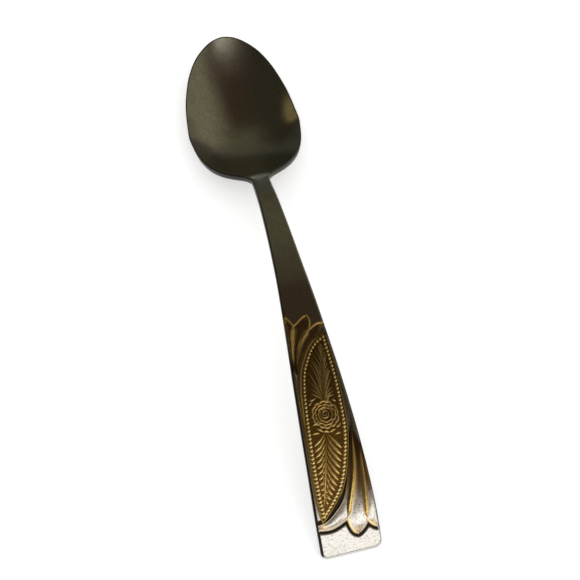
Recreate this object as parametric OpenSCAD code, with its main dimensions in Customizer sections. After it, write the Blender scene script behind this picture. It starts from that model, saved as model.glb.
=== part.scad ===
// Teaspoon with a coined rose medallion on the handle.
// Millimetres. X is across the spoon, Y runs from the handle's end to the bowl's tip, Z is up.
// The spoon lies on its bowl and its handle's end, as on a table, at Z = 0.

/* [Handle] */
// Width near the handle's end
end_w = 14; // [12:0.5:17]
// Radius of the two corners at the handle's end
corner_r = 1.6; // [0.8:0.1:2.4]
// Thickness at the very end of the handle
end_t = 1.3; // [1:0.1:1.6]
// Thickness of the handle
handle_t = 1.7; // [1.4:0.1:2.2]
// Height of the top face at the crest of the arch
crest_h = 18; // [15:0.5:22]
// Distance from the handle's end to the crest
crest_l = 58; // [52:1:64]
// Rounding along the handle's upper edges
shoulder_r = 0.5; // [0.3:0.05:0.6]
// Rounding along the handle's lower edges
belly_r = 0.7; // [0.4:0.05:0.8]
// Length of the plain tip beyond the ornament
plain_l = 3.4; // [2:0.1:4]
// Length of the panel beyond the ornament
panel_past_l = 3; // [2:0.5:5]
// Length of the stem between the panel and the neck
stem_l = 26; // [20:1:32]
// Width where the panel turns into the stem
stem_w = 8.5; // [7:0.25:10]
// Length of the flat that the handle's end rests on
rest_l = 0.9; // [0.6:0.1:1.2]

/* [Neck] */
// Width of the neck at its narrowest
neck_w = 4.5; // [4:0.1:6]
// Thickness of the neck
neck_t = 2.2; // [1.8:0.1:2.6]
// Length of the neck before the bowl
neck_l = 11; // [8:1:16]
// Height of the top face where the bowl starts
neck_h = 11.4; // [10:0.2:13]

/* [Bowl] */
// Length of the bowl with its shoulders
bowl_l = 48; // [44:1:56]
// Width of the bowl
bowl_w = 29.6; // [26:0.2:34]
// Thickness of the bowl
bowl_t = 1.25; // [1:0.05:1.6]
// Height of the rim at the bowl's tip
tip_h = 8.85; // [8:0.1:10]
// Height of the rim at its lowest
rim_h = 5.8; // [5:0.1:7]
// Distance from the start of the bowl to the deepest place
deep_l = 23; // [20:1:26]
// Distance from the start of the bowl to the lowest place of the rim
sag_l = 26; // [22:1:30]
// Width of the blunt nose at the bowl's tip
nose_w = 1.2; // [0.8:0.1:1.6]
// Rounding of the bowl's rim
rim_r = 0.4; // [0.2:0.05:0.5]

/* [Ornament] */
// Length of handle that the ornament covers, from the handle's end
ornament_l = 50; // [46:1:52]
// Thickness of the medallion's ground
ground_t = 0.12; // [0.08:0.01:0.2]
// Diameter of a border bead
bead_d = 0.74; // [0.6:0.02:0.8]
// Height of a border bead above the ground
bead_h = 0.3; // [0.2:0.02:0.36]
// Distance from bead to bead along the border
bead_pitch = 0.86; // [0.84:0.02:1.2]
// Width of the plain band outside the beads
band_w = 0.7; // [0.4:0.05:0.8]
// Height of the plain band
band_h = 0.34; // [0.2:0.02:0.4]
// Gap between the beads' edge and the plain band
band_gap = 0.06; // [0.02:0.02:0.1]
// Height of the ridges along the petals' edges
ridge_h = 0.32; // [0.2:0.02:0.4]
// Height of the petals' hollows
hollow_h = 0.08; // [0.04:0.01:0.12]

/* [Rose] */
// Ring left free round the rose for its small leaves
rose_gap = 0.4; // [0.2:0.05:0.8]
// Radius of the rose's wound heart
heart_r = 1.35; // [1:0.05:1.5]
// Height of the rose's petals at their rims
rose_h = 0.42; // [0.3:0.02:0.5]
// Height of the wound ridge in the heart
heart_h = 0.5; // [0.3:0.02:0.6]
// Width of the wound ridge in the heart
coil_w = 0.42; // [0.3:0.02:0.5]
// Number of open petals
rose_petals_n = 6; // [5:1:8]

/* [Sprays] */
// Width of an upper frond
frond_w = 0.5; // [0.3:0.02:0.6]
// Distance between pairs of upper fronds
frond_pitch = 1.3; // [1.1:0.05:2]
// Height of the fronds and leaves
leaf_h = 0.26; // [0.16:0.02:0.34]
// Width of a lower leaflet
leaflet_w = 0.7; // [0.5:0.02:0.8]
// Distance between pairs of lower leaflets
leaflet_pitch = 1.5; // [1.3:0.05:2]
// Gap between a spray and the beads
spray_gap = 0.15; // [0.1:0.05:0.3]
// Width of the small leaves round the rose
collar_w = 0.5; // [0.3:0.05:0.6]

/* [Hidden] */

steel = [0.42, 0.40, 0.34];
gilt = [0.80, 0.62, 0.28];
pale_gilt = [0.92, 0.80, 0.48];
old_gilt = [0.55, 0.40, 0.18];

panel_end_l = ornament_l + panel_past_l;
stem_end_l = panel_end_l + stem_l;
handle_l = stem_end_l + neck_l;
spoon_l = handle_l + bowl_l;

// Outline of the panel, then of the stem and neck: where, as shares of their length, and how far
// the width is from its last value towards its first
panel_at_shares = [0, 0.12, 0.37, 0.66, 0.93, 1];
panel_w_shares = [1, 1, 0.845, 0.517, 0.105, 0];
taper_at_shares = [0, 0.32, 0.73, 1];
taper_w_shares = [1, 0.558, 0.178, 0];

// Outline of the bowl over a half turn from neck to tip, as shares of the step from neck width
swell_at_shares = [0, 0.13, 0.18, 0.21, 0.25, 0.3, 0.36, 0.45];
swell_w_shares = [0, 0, 0.1, 0.32, 0.57, 0.77, 0.905, 1];
close_at_shares = [0.45, 0.56, 0.67, 0.77, 0.87, 1];
close_w_shares = [1, 0.945, 0.81, 0.61, 0.335, 0];

// Rise of the handle's top face from its end to the crest, and its fall to the bowl
rise_at_shares = [0, 0.14, 0.31, 0.52, 0.72, 0.87, 0.96, 1];
rise_h_shares = [0, 0.31, 0.585, 0.785, 0.91, 0.972, 0.997, 1];
fall_at_shares = [0, 0.05, 0.16, 0.44, 0.81, 1];
fall_h_shares = [1, 0.997, 0.957, 0.81, 0.41, 0];

// Height along the bowl's middle, down to the floor and up to the tip
dive_at_shares = [0, 0.17, 0.3, 0.44, 0.61, 0.78, 1];
dive_h_shares = [1, 0.79, 0.59, 0.38, 0.17, 0.05, 0];
climb_at_shares = [0, 0.24, 0.48, 0.72, 0.92, 1];
climb_h_shares = [0, 0.065, 0.26, 0.56, 0.88, 1];

// Height along the bowl's rim, down to its lowest place and up to the tip
droop_at_shares = [0, 0.15, 0.27, 0.39, 0.54, 0.77, 1];
droop_h_shares = [1, 0.66, 0.48, 0.35, 0.21, 0.06, 0];
lift_at_shares = [0, 0.27, 0.55, 0.82, 1];
lift_h_shares = [0, 0.065, 0.28, 0.66, 1];

// How square the bowl's cross-section is
bowl_power_share = 2.2;

// Centre of the beads, clockwise from the lower tip: shares of the ornament's length and half width
medallion_shares = [
    [0.168, -0.71], [0.26, -0.755], [0.37, -0.76], [0.48, -0.73], [0.6, -0.68], [0.7, -0.6],
    [0.77, -0.47], [0.82, -0.25], [0.865, 0.03], [0.9, 0.37], [0.918, 0.72],
    [0.85, 0.715], [0.74, 0.705], [0.63, 0.65], [0.52, 0.57], [0.44, 0.44],
    [0.37, 0.28], [0.31, 0.12], [0.26, -0.08], [0.22, -0.33], [0.188, -0.56]
];
rose_at_share = 0.575;

// Roots of the two sprays from the rose's centre, as shares of its radius, and their stems' lengths
// as shares of the way from root to tip
upper_root_shares = [0.13, 0.98];
lower_root_shares = [-0.2, -1.27];
upper_stem_share = 0.93;
lower_stem_share = 0.9;

// Where the small leaves start round the rose, from its top, and how far round each runs
collar_a = [50, 84, 118, 149];
collar_turn_a = 27;

// Angles of the upper fronds from their stem, left and right, and of the fan near its root
frond_left_a = 34;
frond_right_a = 25;
fan_a = [-88, -71, -54, 45, 62, 80];

// Angles of the lower leaflets from their stem, left and right
leaflet_left_a = 38;
leaflet_right_a = 46;

// Ridge lines of the upper petals from tail to tip: shares of the ornament's length and half width
upper_edge_shares = [[0.78, -0.88], [0.86, -0.88], [0.94, -0.88], [1.0, -0.88], [1.04, -0.88]];
upper_ab_shares = [[0.78, -0.83], [0.83, -0.82], [0.88, -0.77], [0.94, -0.69], [0.992, -0.57]];
upper_ab_left_shares = [[1.015, -0.67], [1.04, -0.8]];
upper_ab_right_shares = [[1.006, -0.4], [1.02, -0.18], [1.032, 0.08]];
upper_bc_shares = [
    [0.75, -0.82], [0.8, -0.61], [0.85, -0.46], [0.896, -0.29], [0.944, -0.02], [0.97, 0.22]
];
upper_bc_left_shares = [[0.995, 0.22], [1.016, 0.23], [1.032, 0.2]];
upper_bc_right_shares = [[0.984, 0.44], [0.992, 0.68], [0.984, 0.88]];
upper_inner_shares = [
    [0.72, -0.83], [0.78, -0.55], [0.83, -0.36], [0.876, -0.16], [0.92, 0.11], [0.952, 0.44],
    [0.976, 0.88]
];

// Ridge lines of the lower petals from tail to tip
lower_inner_shares = [
    [0.5, 0.8], [0.43, 0.6], [0.38, 0.46], [0.336, 0.34], [0.29, 0.24], [0.254, 0.15], [0.22, 0],
    [0.194, -0.145], [0.174, -0.29], [0.158, -0.43], [0.144, -0.645], [0.142, -0.88]
];
lower_ab_shares = [
    [0.5, 0.84], [0.44, 0.77], [0.38, 0.64], [0.32, 0.49], [0.25, 0.29], [0.19, 0.12], [0.142, 0]
];
lower_ab_left_shares = [[0.124, -0.21], [0.116, -0.43], [0.118, -0.68], [0.126, -0.88]];
lower_ab_right_shares = [[0.108, 0.035], [0.086, 0.09], [0.074, 0.16]];
lower_bc_shares = [[0.42, 0.88], [0.36, 0.87], [0.3, 0.82], [0.24, 0.76], [0.18, 0.7], [0.122, 0.66]];
lower_bc_left_shares = [[0.098, 0.55], [0.08, 0.39], [0.074, 0.28]];
lower_bc_right_shares = [[0.098, 0.76], [0.08, 0.86]];
lower_edge_shares = [[0.42, 0.9], [0.3, 0.9], [0.2, 0.9], [0.08, 0.9]];
tail_h_share = 0.35;

// Slope of a knot table at knot i, held so that the curve never overshoots
function secant(a, b, i) = (b[i + 1] - b[i]) / (a[i + 1] - a[i]);
function knot_slope(a, b, i) =
    i == 0 ? secant(a, b, 0) :
    i == len(a) - 1 ? secant(a, b, i - 1) :
    let (s = secant(a, b, i - 1), t = secant(a, b, i)) s * t <= 0 ? 0 : 2 * s * t / (s + t);

// Smooth value of a knot table at place p
function span_of(a, p, i = 0) = i >= len(a) - 2 || p <= a[i + 1] ? i : span_of(a, p, i + 1);
function smooth(a, b, p) =
    let (i = span_of(a, p), d = a[i + 1] - a[i], t = min(max((p - a[i]) / d, 0), 1),
         m = knot_slope(a, b, i) * d, n = knot_slope(a, b, i + 1) * d)
    b[i] * (1 + 2 * t) * (1 - t) * (1 - t) + m * t * (1 - t) * (1 - t)
    + b[i + 1] * t * t * (3 - 2 * t) + n * t * t * (t - 1);

// Share of a half turn that a place along the bowl stands for
function bowl_turn(y) = acos(min(max(1 - 2 * (y - handle_l) / bowl_l, -1), 1)) / 180;

// Half width of the spoon at y
function corner_cut(y) = y < corner_r ? corner_r - sqrt(corner_r * corner_r - pow(corner_r - y, 2)) : 0;
function handle_half_w(y) =
    y <= panel_end_l
        ? stem_w / 2 + (end_w - stem_w) / 2 * smooth(panel_at_shares, panel_w_shares, y / panel_end_l)
        : neck_w / 2 + (stem_w - neck_w) / 2
            * smooth(taper_at_shares, taper_w_shares, (y - panel_end_l) / (handle_l - panel_end_l));
function bowl_half_w(y) =
    let (q = bowl_turn(y))
    q < close_at_shares[0]
        ? neck_w / 2 + (bowl_w - neck_w) / 2 * smooth(swell_at_shares, swell_w_shares, q)
        : nose_w / 2 + (bowl_w - nose_w) / 2 * smooth(close_at_shares, close_w_shares, q);
function half_w(y) = y <= handle_l ? handle_half_w(y) - corner_cut(y) : bowl_half_w(y);

// Height of the top face along the middle
function handle_top(y) =
    y <= crest_l
        ? end_t + (crest_h - end_t) * smooth(rise_at_shares, rise_h_shares, y / crest_l)
        : neck_h + (crest_h - neck_h)
            * smooth(fall_at_shares, fall_h_shares, (y - crest_l) / (handle_l - crest_l));
function bowl_mid(y) =
    y <= handle_l + deep_l
        ? bowl_t + (neck_h - bowl_t) * smooth(dive_at_shares, dive_h_shares, (y - handle_l) / deep_l)
        : bowl_t + (tip_h - bowl_t)
            * smooth(climb_at_shares, climb_h_shares, (y - handle_l - deep_l) / (bowl_l - deep_l));
function bowl_rim(y) =
    y <= handle_l + sag_l
        ? rim_h + (neck_h - rim_h) * smooth(droop_at_shares, droop_h_shares, (y - handle_l) / sag_l)
        : rim_h + (tip_h - rim_h)
            * smooth(lift_at_shares, lift_h_shares, (y - handle_l - sag_l) / (bowl_l - sag_l));
function top_z(y) = y <= handle_l ? handle_top(y) : bowl_mid(y);
function side_rise(y) = y <= handle_l ? 0 : bowl_rim(y) - bowl_mid(y);

// Slope of the handle's top face, over a short step
step_l = handle_l / 900;
function slope(y) =
    (handle_top(min(y + step_l, handle_l)) - handle_top(max(y - step_l, 0)))
    / (min(y + step_l, handle_l) - max(y - step_l, 0));

// Upright thickness at y: the handle's own, the stouter neck, then down to the bowl's
stem_at_shares = [0, 0.6, 1];
stem_t_shares = [0, 0.5, 1];
fade_at_shares = [0, 0.3, 0.7, 1];
fade_t_shares = [1, 0.8, 0.2, 0];
function upright_t(y) =
    y <= panel_end_l ? handle_t * sqrt(1 + pow(slope(y), 2)) :
    y <= stem_end_l ? (handle_t + (neck_t - handle_t)
        * smooth(stem_at_shares, stem_t_shares, (y - panel_end_l) / (stem_end_l - panel_end_l)))
        * sqrt(1 + pow(slope(y), 2)) :
    y <= handle_l ? neck_t * sqrt(1 + pow(slope(y), 2)) :
    let (full_t = neck_t * sqrt(1 + pow(slope(handle_l), 2)))
    bowl_t + (full_t - bowl_t)
        * smooth(fade_at_shares, fade_t_shares, min((y - handle_l) / deep_l, 1));
function under_z(y) =
    y <= rest_l ? 0 : max(top_z(y) - upright_t(y), 0);

// Half a rounded edge row: places across, and how far each drops towards the edge
arc_n = 3;
function half_row(w, r, cols) = concat(
    [for (j = [0:cols]) [(w - r) * j / cols, 0]],
    [for (j = [1:arc_n]) [w - r + r * sin(90 * j / arc_n), r * (1 - cos(90 * j / arc_n))]]);
function full_row(half) = concat(
    [for (k = [len(half) - 1:-1:1]) [-half[k][0], half[k][1]]], half);

// One closed cross-section at y: the top row from left to right, then the lower row back
function cross_section(y, cols) =
    let (w = half_w(y), in_bowl = y > handle_l, t = top_z(y) - under_z(y),
         a = min(in_bowl ? rim_r : shoulder_r, w / 3, t / 3),
         b = min(in_bowl ? rim_r : belly_r, w / 3, t / 2),
         upper = full_row(half_row(w, a, cols)),
         lower = full_row(half_row(w, b, cols)),
         n = len(upper),
         ring = concat(
            [for (p = upper) [p[0], p[1]]],
            [for (k = [n - 1:-1:0]) [lower[k][0], t - lower[k][1]]]))
    [for (p = ring)
        [p[0], y, max(top_z(y) + side_rise(y) * pow(abs(p[0]) / w, bowl_power_share) - p[1], 0)]];

// Triangles that close a ring whose first half runs out and whose second half runs back
function cap(m) =
    m == 3 ? [[0, 1, 2]] :
    [for (j = [0:m / 2 - 2]) each [[j, j + 1, m - 2 - j], [j, m - 2 - j, m - 1 - j]]];

// A closed solid from a list of rings with the same number of points
module skin(rings) {
    m = len(rings[0]);
    n = len(rings);
    polyhedron(
        points = [for (r = rings) each r],
        faces = concat(
            cap(m),
            [for (i = [0:n - 2]) for (k = [0:m - 1])
                each [[i * m + k, (i + 1) * m + k, (i + 1) * m + (k + 1) % m],
                      [i * m + k, (i + 1) * m + (k + 1) % m, i * m + (k + 1) % m]]],
            [for (f = cap(m)) [for (k = [2:-1:0]) (n - 1) * m + f[k]]]),
        convexity = 6);
}

// Places spread evenly from one to another, without the last
function spread(from_y, to_y, n) = [for (i = [0:n - 1]) from_y + (to_y - from_y) * i / n];

// A run of steel through a list of places along the spoon
module steel_run(places, cols) {
    color(steel)
        translate([0, -spoon_l / 2, 0])
            skin([for (y = places) cross_section(y, cols)]);
}

module bowl() {
    n = 40;
    steel_run([for (i = [0:n]) handle_l + bowl_l * (1 - cos(180 * i / n)) / 2], 7);
}

module neck() {
    steel_run(concat(spread(stem_end_l, handle_l, 6), [handle_l]), 2);
}

module stem() {
    steel_run(concat(spread(panel_end_l, stem_end_l, 13), [stem_end_l]), 2);
}

module handle_panel() {
    steel_run(concat(spread(plain_l, panel_end_l, 26), [panel_end_l]), 2);
}

module plain_tip() {
    steel_run(concat(
        spread(0, rest_l, 4), spread(rest_l, corner_r, 3), spread(corner_r, plain_l, 3), [plain_l]), 2);
}

// A place on the top face: x and y in the plan, h square to the face
function on_top(p, h) =
    let (s = slope(p[1]), c = sqrt(1 + s * s))
    [p[0], p[1] - h * s / c - spoon_l / 2, handle_top(p[1]) + h / c];

// A plan place from its shares of the ornament's length and the local half width
function plan(q) = let (y = q[0] * ornament_l) [q[1] * handle_half_w(y), y];

// Smooth line through plan places
function bend(a, b, c, d, t) =
    0.5 * (2 * b + (c - a) * t + (2 * a - 5 * b + 4 * c - d) * t * t
    + (3 * b - a - 3 * c + d) * t * t * t);
function open_line(p, n) =
    let (m = len(p) - 1)
    [for (i = [0:n]) let (s = min(floor(i * m / n), m - 1), t = i * m / n - s)
        bend(p[max(s - 1, 0)], p[s], p[s + 1], p[min(s + 2, m)], t)];

// Distance along a list of places, and the list again with its places evenly spread
function run(p, i = 0, sum = 0, out = []) =
    i >= len(p) ? out
    : let (s = i == 0 ? 0 : sum + norm(p[i] - p[i - 1])) run(p, i + 1, s, concat(out, [s]));
function even(p, n) =
    let (d = run(p), l = d[len(d) - 1])
    [for (i = [0:n]) let (s = l * i / n, k = span_of(d, s), t = (s - d[k]) / (d[k + 1] - d[k]))
        p[k] + (p[k + 1] - p[k]) * min(max(t, 0), 1)];

// The two pointed arcs of the medallion's border, from tip to tip
tip_i = 10;
medallion = [for (q = medallion_shares) plan(q)];
fine_n = 40;
left_arc = open_line([for (i = [0:tip_i]) medallion[i]], fine_n);
right_arc = open_line(
    concat([for (i = [tip_i:len(medallion) - 1]) medallion[i]], [medallion[0]]), fine_n);
rose_at = [0, rose_at_share * ornament_l];

function lifted(p) = [p[0], p[1], handle_top(p[1])];
function arc_run(p) = let (d = run([for (q = p) lifted(q)])) d[len(d) - 1];
function beads_on(p) = round(arc_run(p) / bead_pitch);
bead_places = concat(
    [for (q = [even(left_arc, beads_on(left_arc))]) for (i = [0:len(q) - 2]) q[i]],
    [for (q = [even(right_arc, beads_on(right_arc))]) for (i = [0:len(q) - 2]) q[i]]);

// Outline of the medallion moved outwards by d from the beads' middle line
outline_n = 28;
outline = concat(
    [for (q = [even(left_arc, outline_n)]) for (i = [0:len(q) - 2]) q[i]],
    [for (q = [even(right_arc, outline_n)]) for (i = [0:len(q) - 2]) q[i]]);
function outward(p, i) =
    let (m = len(p), a = p[(i + m - 1) % m], b = p[i], c = p[(i + 1) % m],
         u = (b - a) / norm(b - a), v = (c - b) / norm(c - b), s = u + v,
         k = s / norm(s), f = max(k * u, 0.6))
    [-k[1], k[0]] / f;
function moved(p, d) = [for (i = [0:len(p) - 1]) p[i] + outward(p, i) * d];

module medallion_ground() {
    edge = moved(outline, bead_d / 2 + band_gap);
    m = len(edge);
    rings_n = 7;
    mid = [(medallion[0][0] + medallion[tip_i][0]) / 2, (medallion[0][1] + medallion[tip_i][1]) / 2];
    function at(i, k, h) = on_top(mid + (edge[k] - mid) * i / rings_n, h);
    low = 1 + rings_n * m;
    color(old_gilt)
        polyhedron(
            points = concat(
                [on_top(mid, ground_t)],
                [for (i = [1:rings_n]) for (k = [0:m - 1]) at(i, k, ground_t)],
                [on_top(mid, 0)],
                [for (i = [1:rings_n]) for (k = [0:m - 1]) at(i, k, 0)]),
            faces = concat(
                [for (k = [0:m - 1]) [0, 1 + k, 1 + (k + 1) % m]],
                [for (i = [0:rings_n - 2]) for (k = [0:m - 1]) let (a = 1 + i * m, l = (k + 1) % m)
                    each [[a + k, a + m + k, a + m + l], [a + k, a + m + l, a + l]]],
                [for (k = [0:m - 1]) [low, low + 1 + (k + 1) % m, low + 1 + k]],
                [for (i = [0:rings_n - 2]) for (k = [0:m - 1]) let (a = low + 1 + i * m, l = (k + 1) % m)
                    each [[a + k, a + m + l, a + m + k], [a + k, a + l, a + m + l]]],
                [for (k = [0:m - 1]) let (a = 1 + (rings_n - 1) * m, b = low + a, l = (k + 1) % m)
                    each [[a + k, b + k, b + l], [a + k, b + l, a + l]]]),
            convexity = 4);
}

// A ring that closes on itself, from sections with the same number of points
module loop_skin(rings) {
    m = len(rings[0]);
    n = len(rings);
    polyhedron(
        points = [for (r = rings) each r],
        faces = [for (i = [0:n - 1]) for (k = [0:m - 1])
            let (j = (i + 1) % n, l = (k + 1) % m)
            each [[i * m + k, j * m + k, j * m + l], [i * m + k, j * m + l, i * m + l]]],
        convexity = 6);
}

module medallion_band() {
    inner = moved(outline, bead_d / 2 + band_gap);
    outer = moved(outline, bead_d / 2 + band_gap + band_w);
    function across(i, s) = inner[i] + (outer[i] - inner[i]) * s;
    color(gilt)
        loop_skin([for (i = [0:len(outline) - 1]) [
            on_top(across(i, 0), 0), on_top(across(i, 0), band_h * 0.7),
            on_top(across(i, 0.5), band_h), on_top(across(i, 1), band_h * 0.5),
            on_top(across(i, 1), 0)]]);
}

module bead_border() {
    ball_r = (pow(bead_d / 2, 2) + bead_h * bead_h) / (2 * bead_h);
    color(pale_gilt)
        for (p = bead_places)
            translate(on_top(p, ground_t))
                rotate([atan(slope(p[1])), 0, 0])
                    intersection() {
                        translate([0, 0, bead_h - ball_r])
                            sphere(r = ball_r, $fn = 24);
                        translate([-bead_d, -bead_d, 0])
                            cube([2 * bead_d, 2 * bead_d, bead_h * 2]);
                    }
}

// A ridged leaf on the medallion: from p to q in the plan, bowed sideways, tapered at both ends
module leaf(p, q, bow, w, h, base, n = 6) {
    d = (q - p) / norm(q - p);
    side = [-d[1], d[0]];
    function mid(t) = p + (q - p) * t + side * bow * 4 * t * (1 - t);
    function fat(t) = 0.12 + 0.88 * sin(180 * pow(t, 0.8));
    skin([for (i = [0:n]) let (t = i / n, c = mid(t), f = fat(t) * w / 2) [
        on_top(c + side * f, base), on_top(c, base + h * fat(t)), on_top(c - side * f, base)]]);
}

module rose_petals() {
    gap_turn_share = 0.06;
    turn = 360 / rose_petals_n;
    rings_n = 3;
    arcs_n = 6;
    function reach(s) = rose_r * (0.9 + 0.1 * sin(180 * s));
    function at(k, i, j, h) =
        let (s = j / arcs_n, a = turn * (k + gap_turn_share + (1 - 2 * gap_turn_share) * s),
             r = heart_r + (reach(s) - heart_r) * i / rings_n)
        on_top(rose_at + r * [sin(a), cos(a)], ground_t + h);
    function lift(i, j) =
        rose_h * (0.3 + 0.7 * pow(i / rings_n, 2)) * (0.75 + 0.25 * sin(180 * j / arcs_n));
    color(gilt)
        for (k = [0:rose_petals_n - 1])
            skin([for (j = [0:arcs_n]) concat(
                [for (i = [0:rings_n]) at(k, i, j, lift(i, j))],
                [for (i = [rings_n:-1:0]) at(k, i, j, 0)])]);
}

module rose_heart() {
    turns = 2.2;
    n = 40;
    function wind(t) = coil_w / 2 + (heart_r - coil_w) * t;
    function at(t, s, h) =
        let (a = 360 * turns * t, r = wind(t) + s * coil_w / 2)
        on_top(rose_at + r * [sin(a), cos(a)], ground_t + h);
    color(gilt)
        skin([for (i = [0:n]) let (t = i / n, g = 0.5 + 0.5 * sin(180 * t)) [
            at(t, 1, 0), at(t, 0.5, heart_h * g), at(t, -0.5, heart_h * g), at(t, -1, 0)]]);
}

module collar_leaves() {
    ring_r = rose_r + rose_gap * 0.6;
    function at(s, a) = rose_at + ring_r * [s * sin(a), cos(a)];
    color(pale_gilt)
        for (s = [-1, 1])
            for (a = collar_a)
                leaf(at(s, a), at(s, a + collar_turn_a), s * collar_w / 4, collar_w, leaf_h, ground_t, 5);
}

// How far a ray from p along d runs inside the beads
far_l = 2 * ornament_l;
function meets(p, d, a, b) =
    let (e = b - a, w = a - p, k = d[0] * e[1] - d[1] * e[0])
    k == 0 ? far_l :
    let (t = (w[0] * e[1] - w[1] * e[0]) / k, s = (w[0] * d[1] - w[1] * d[0]) / k)
    t > 0 && s >= 0 && s <= 1 ? t : far_l;
spray_edge = moved(outline, -bead_d / 2 - spray_gap);
function room(p, d) = min([for (i = [0:len(spray_edge) - 1])
    meets(p, d, spray_edge[i], spray_edge[(i + 1) % len(spray_edge)])]);

// The rose fills the way from its centre to the nearer border, less the ring of small leaves
rose_r = min(room(rose_at, [-1, 0]), room(rose_at, [1, 0])) - rose_gap;

// A leaf that starts at p, turned a from the spoon's length, and ends just inside the beads
module grown_leaf(p, a, bow, w, h, n) {
    d = [sin(a), cos(a)];
    leaf(p, p + room(p, d) * d, bow, w, h, ground_t, n);
}

module upper_spray() {
    root = rose_at + rose_r * upper_root_shares;
    stem = (medallion[tip_i] - root) * upper_stem_share;
    lean = atan2(stem[0], stem[1]);
    pairs_n = floor(norm(stem) / frond_pitch);
    color(gilt) {
        leaf(root, root + stem, 0, frond_w, leaf_h, ground_t, 8);
        for (k = [0:pairs_n - 1]) {
            grown_leaf(root + stem * (k + 0.5) / pairs_n, lean - frond_left_a, frond_w / 2,
                frond_w, leaf_h * 0.8, 6);
            grown_leaf(root + stem * k / pairs_n, lean + frond_right_a, -frond_w / 2,
                frond_w, leaf_h * 0.9, 6);
        }
        for (a = fan_a)
            grown_leaf(root + frond_w / 8 * [sin(lean + a), cos(lean + a)], lean + a,
                a < 0 ? frond_w / 2 : -frond_w / 2, frond_w, leaf_h * 0.7, 5);
    }
}

module lower_spray() {
    root = rose_at + rose_r * lower_root_shares;
    stem = (medallion[0] - root) * lower_stem_share;
    lean = atan2(stem[0], stem[1]);
    pairs_n = floor(norm(stem) / leaflet_pitch);
    color(pale_gilt) {
        leaf(root, root + stem, 0, leaflet_w * 0.8, leaf_h, ground_t, 8);
        for (k = [0:pairs_n - 1]) {
            p = root + stem * k / pairs_n;
            grown_leaf(p, lean + leaflet_left_a, -leaflet_w / 4, leaflet_w, leaf_h * 0.9, 6);
            grown_leaf(p, lean - leaflet_right_a, leaflet_w / 4, leaflet_w, leaf_h * 0.8, 6);
        }
    }
}

// A hollowed petal between two ridge lines that run from tail to tip
module petal(left_shares, right_shares) {
    n = 18;
    cols = 6;
    a = even(open_line([for (q = left_shares) plan(q)], n * 2), n);
    b = even(open_line([for (q = right_shares) plan(q)], n * 2), n);
    function at(i, j, h) = on_top(a[i] + (b[i] - a[i]) * j / cols, h);
    function dish(j) = hollow_h + (ridge_h - hollow_h) * pow(abs(2 * j / cols - 1), 2);
    function ends(i) = tail_h_share + (1 - tail_h_share) * min(4 * i / n, 1);
    color(gilt)
        skin([for (i = [0:n]) concat(
            [for (j = [0:cols]) at(i, j, dish(j) * ends(i))],
            [for (j = [cols:-1:0]) at(i, j, 0)])]);
}

module upper_petal_left() {
    petal(upper_edge_shares, concat(upper_ab_shares, upper_ab_left_shares));
}

module upper_petal_middle() {
    petal(concat(upper_ab_shares, upper_ab_right_shares), concat(upper_bc_shares, upper_bc_left_shares));
}

module upper_petal_right() {
    petal(concat(upper_bc_shares, upper_bc_right_shares), upper_inner_shares);
}

module lower_petal_left() {
    petal(lower_inner_shares, concat(lower_ab_shares, lower_ab_left_shares));
}

module lower_petal_middle() {
    petal(concat(lower_ab_shares, lower_ab_right_shares), concat(lower_bc_shares, lower_bc_left_shares));
}

module lower_petal_right() {
    petal(concat(lower_bc_shares, lower_bc_right_shares), lower_edge_shares);
}

bowl();
neck();
stem();
handle_panel();
plain_tip();
medallion_ground();
medallion_band();
bead_border();
rose_petals();
rose_heart();
collar_leaves();
upper_spray();
lower_spray();
upper_petal_left();
upper_petal_middle();
upper_petal_right();
lower_petal_left();
lower_petal_middle();
lower_petal_right();
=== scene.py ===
"""Teaspoon with a coined and gilded rose medallion, dressed over its frame."""

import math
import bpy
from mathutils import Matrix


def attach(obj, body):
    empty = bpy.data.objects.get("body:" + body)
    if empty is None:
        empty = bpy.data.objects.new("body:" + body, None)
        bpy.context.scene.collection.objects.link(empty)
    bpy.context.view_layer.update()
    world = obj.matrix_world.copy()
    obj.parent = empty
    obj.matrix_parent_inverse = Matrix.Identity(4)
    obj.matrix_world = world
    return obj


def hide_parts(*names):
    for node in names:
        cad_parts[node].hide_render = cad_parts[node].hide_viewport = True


bl_info = {
    "name": "Rose medallion teaspoon",
    "version": (1, 0, 0),
    "blender": (4, 5, 0),
    "location": "3D View > Sidebar > Teaspoon",
    "description": "Dresses the teaspoon's frame: steel blank, coined gilt relief, stage",
    "category": "Object",
}

from types import SimpleNamespace

import bmesh
import bpy
import numpy as np
from bpy.props import FloatProperty, FloatVectorProperty, PointerProperty
from mathutils import Matrix, Vector

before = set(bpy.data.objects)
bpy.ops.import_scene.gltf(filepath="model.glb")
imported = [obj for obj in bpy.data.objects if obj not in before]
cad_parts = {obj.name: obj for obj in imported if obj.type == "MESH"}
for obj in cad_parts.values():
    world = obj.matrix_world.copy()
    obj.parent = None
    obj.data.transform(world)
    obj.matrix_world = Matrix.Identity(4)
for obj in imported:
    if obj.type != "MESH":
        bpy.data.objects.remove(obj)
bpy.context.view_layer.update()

MM = 0.001
# Points of a pole or a seam that lie closer than this become one
WELD = 0.0004 * MM


# ---------------------------------------------------------------- sizes and colours


def size(name, text, value):
    """A length in millimetres that a user may change."""
    return FloatProperty(name=name, description=text, default=value, min=0.0)


def tint(name, text, value):
    """A colour, in linear light."""
    return FloatVectorProperty(
        name=name, description=text, default=value, size=3, min=0.0, max=1.0, subtype="COLOR")


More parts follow.
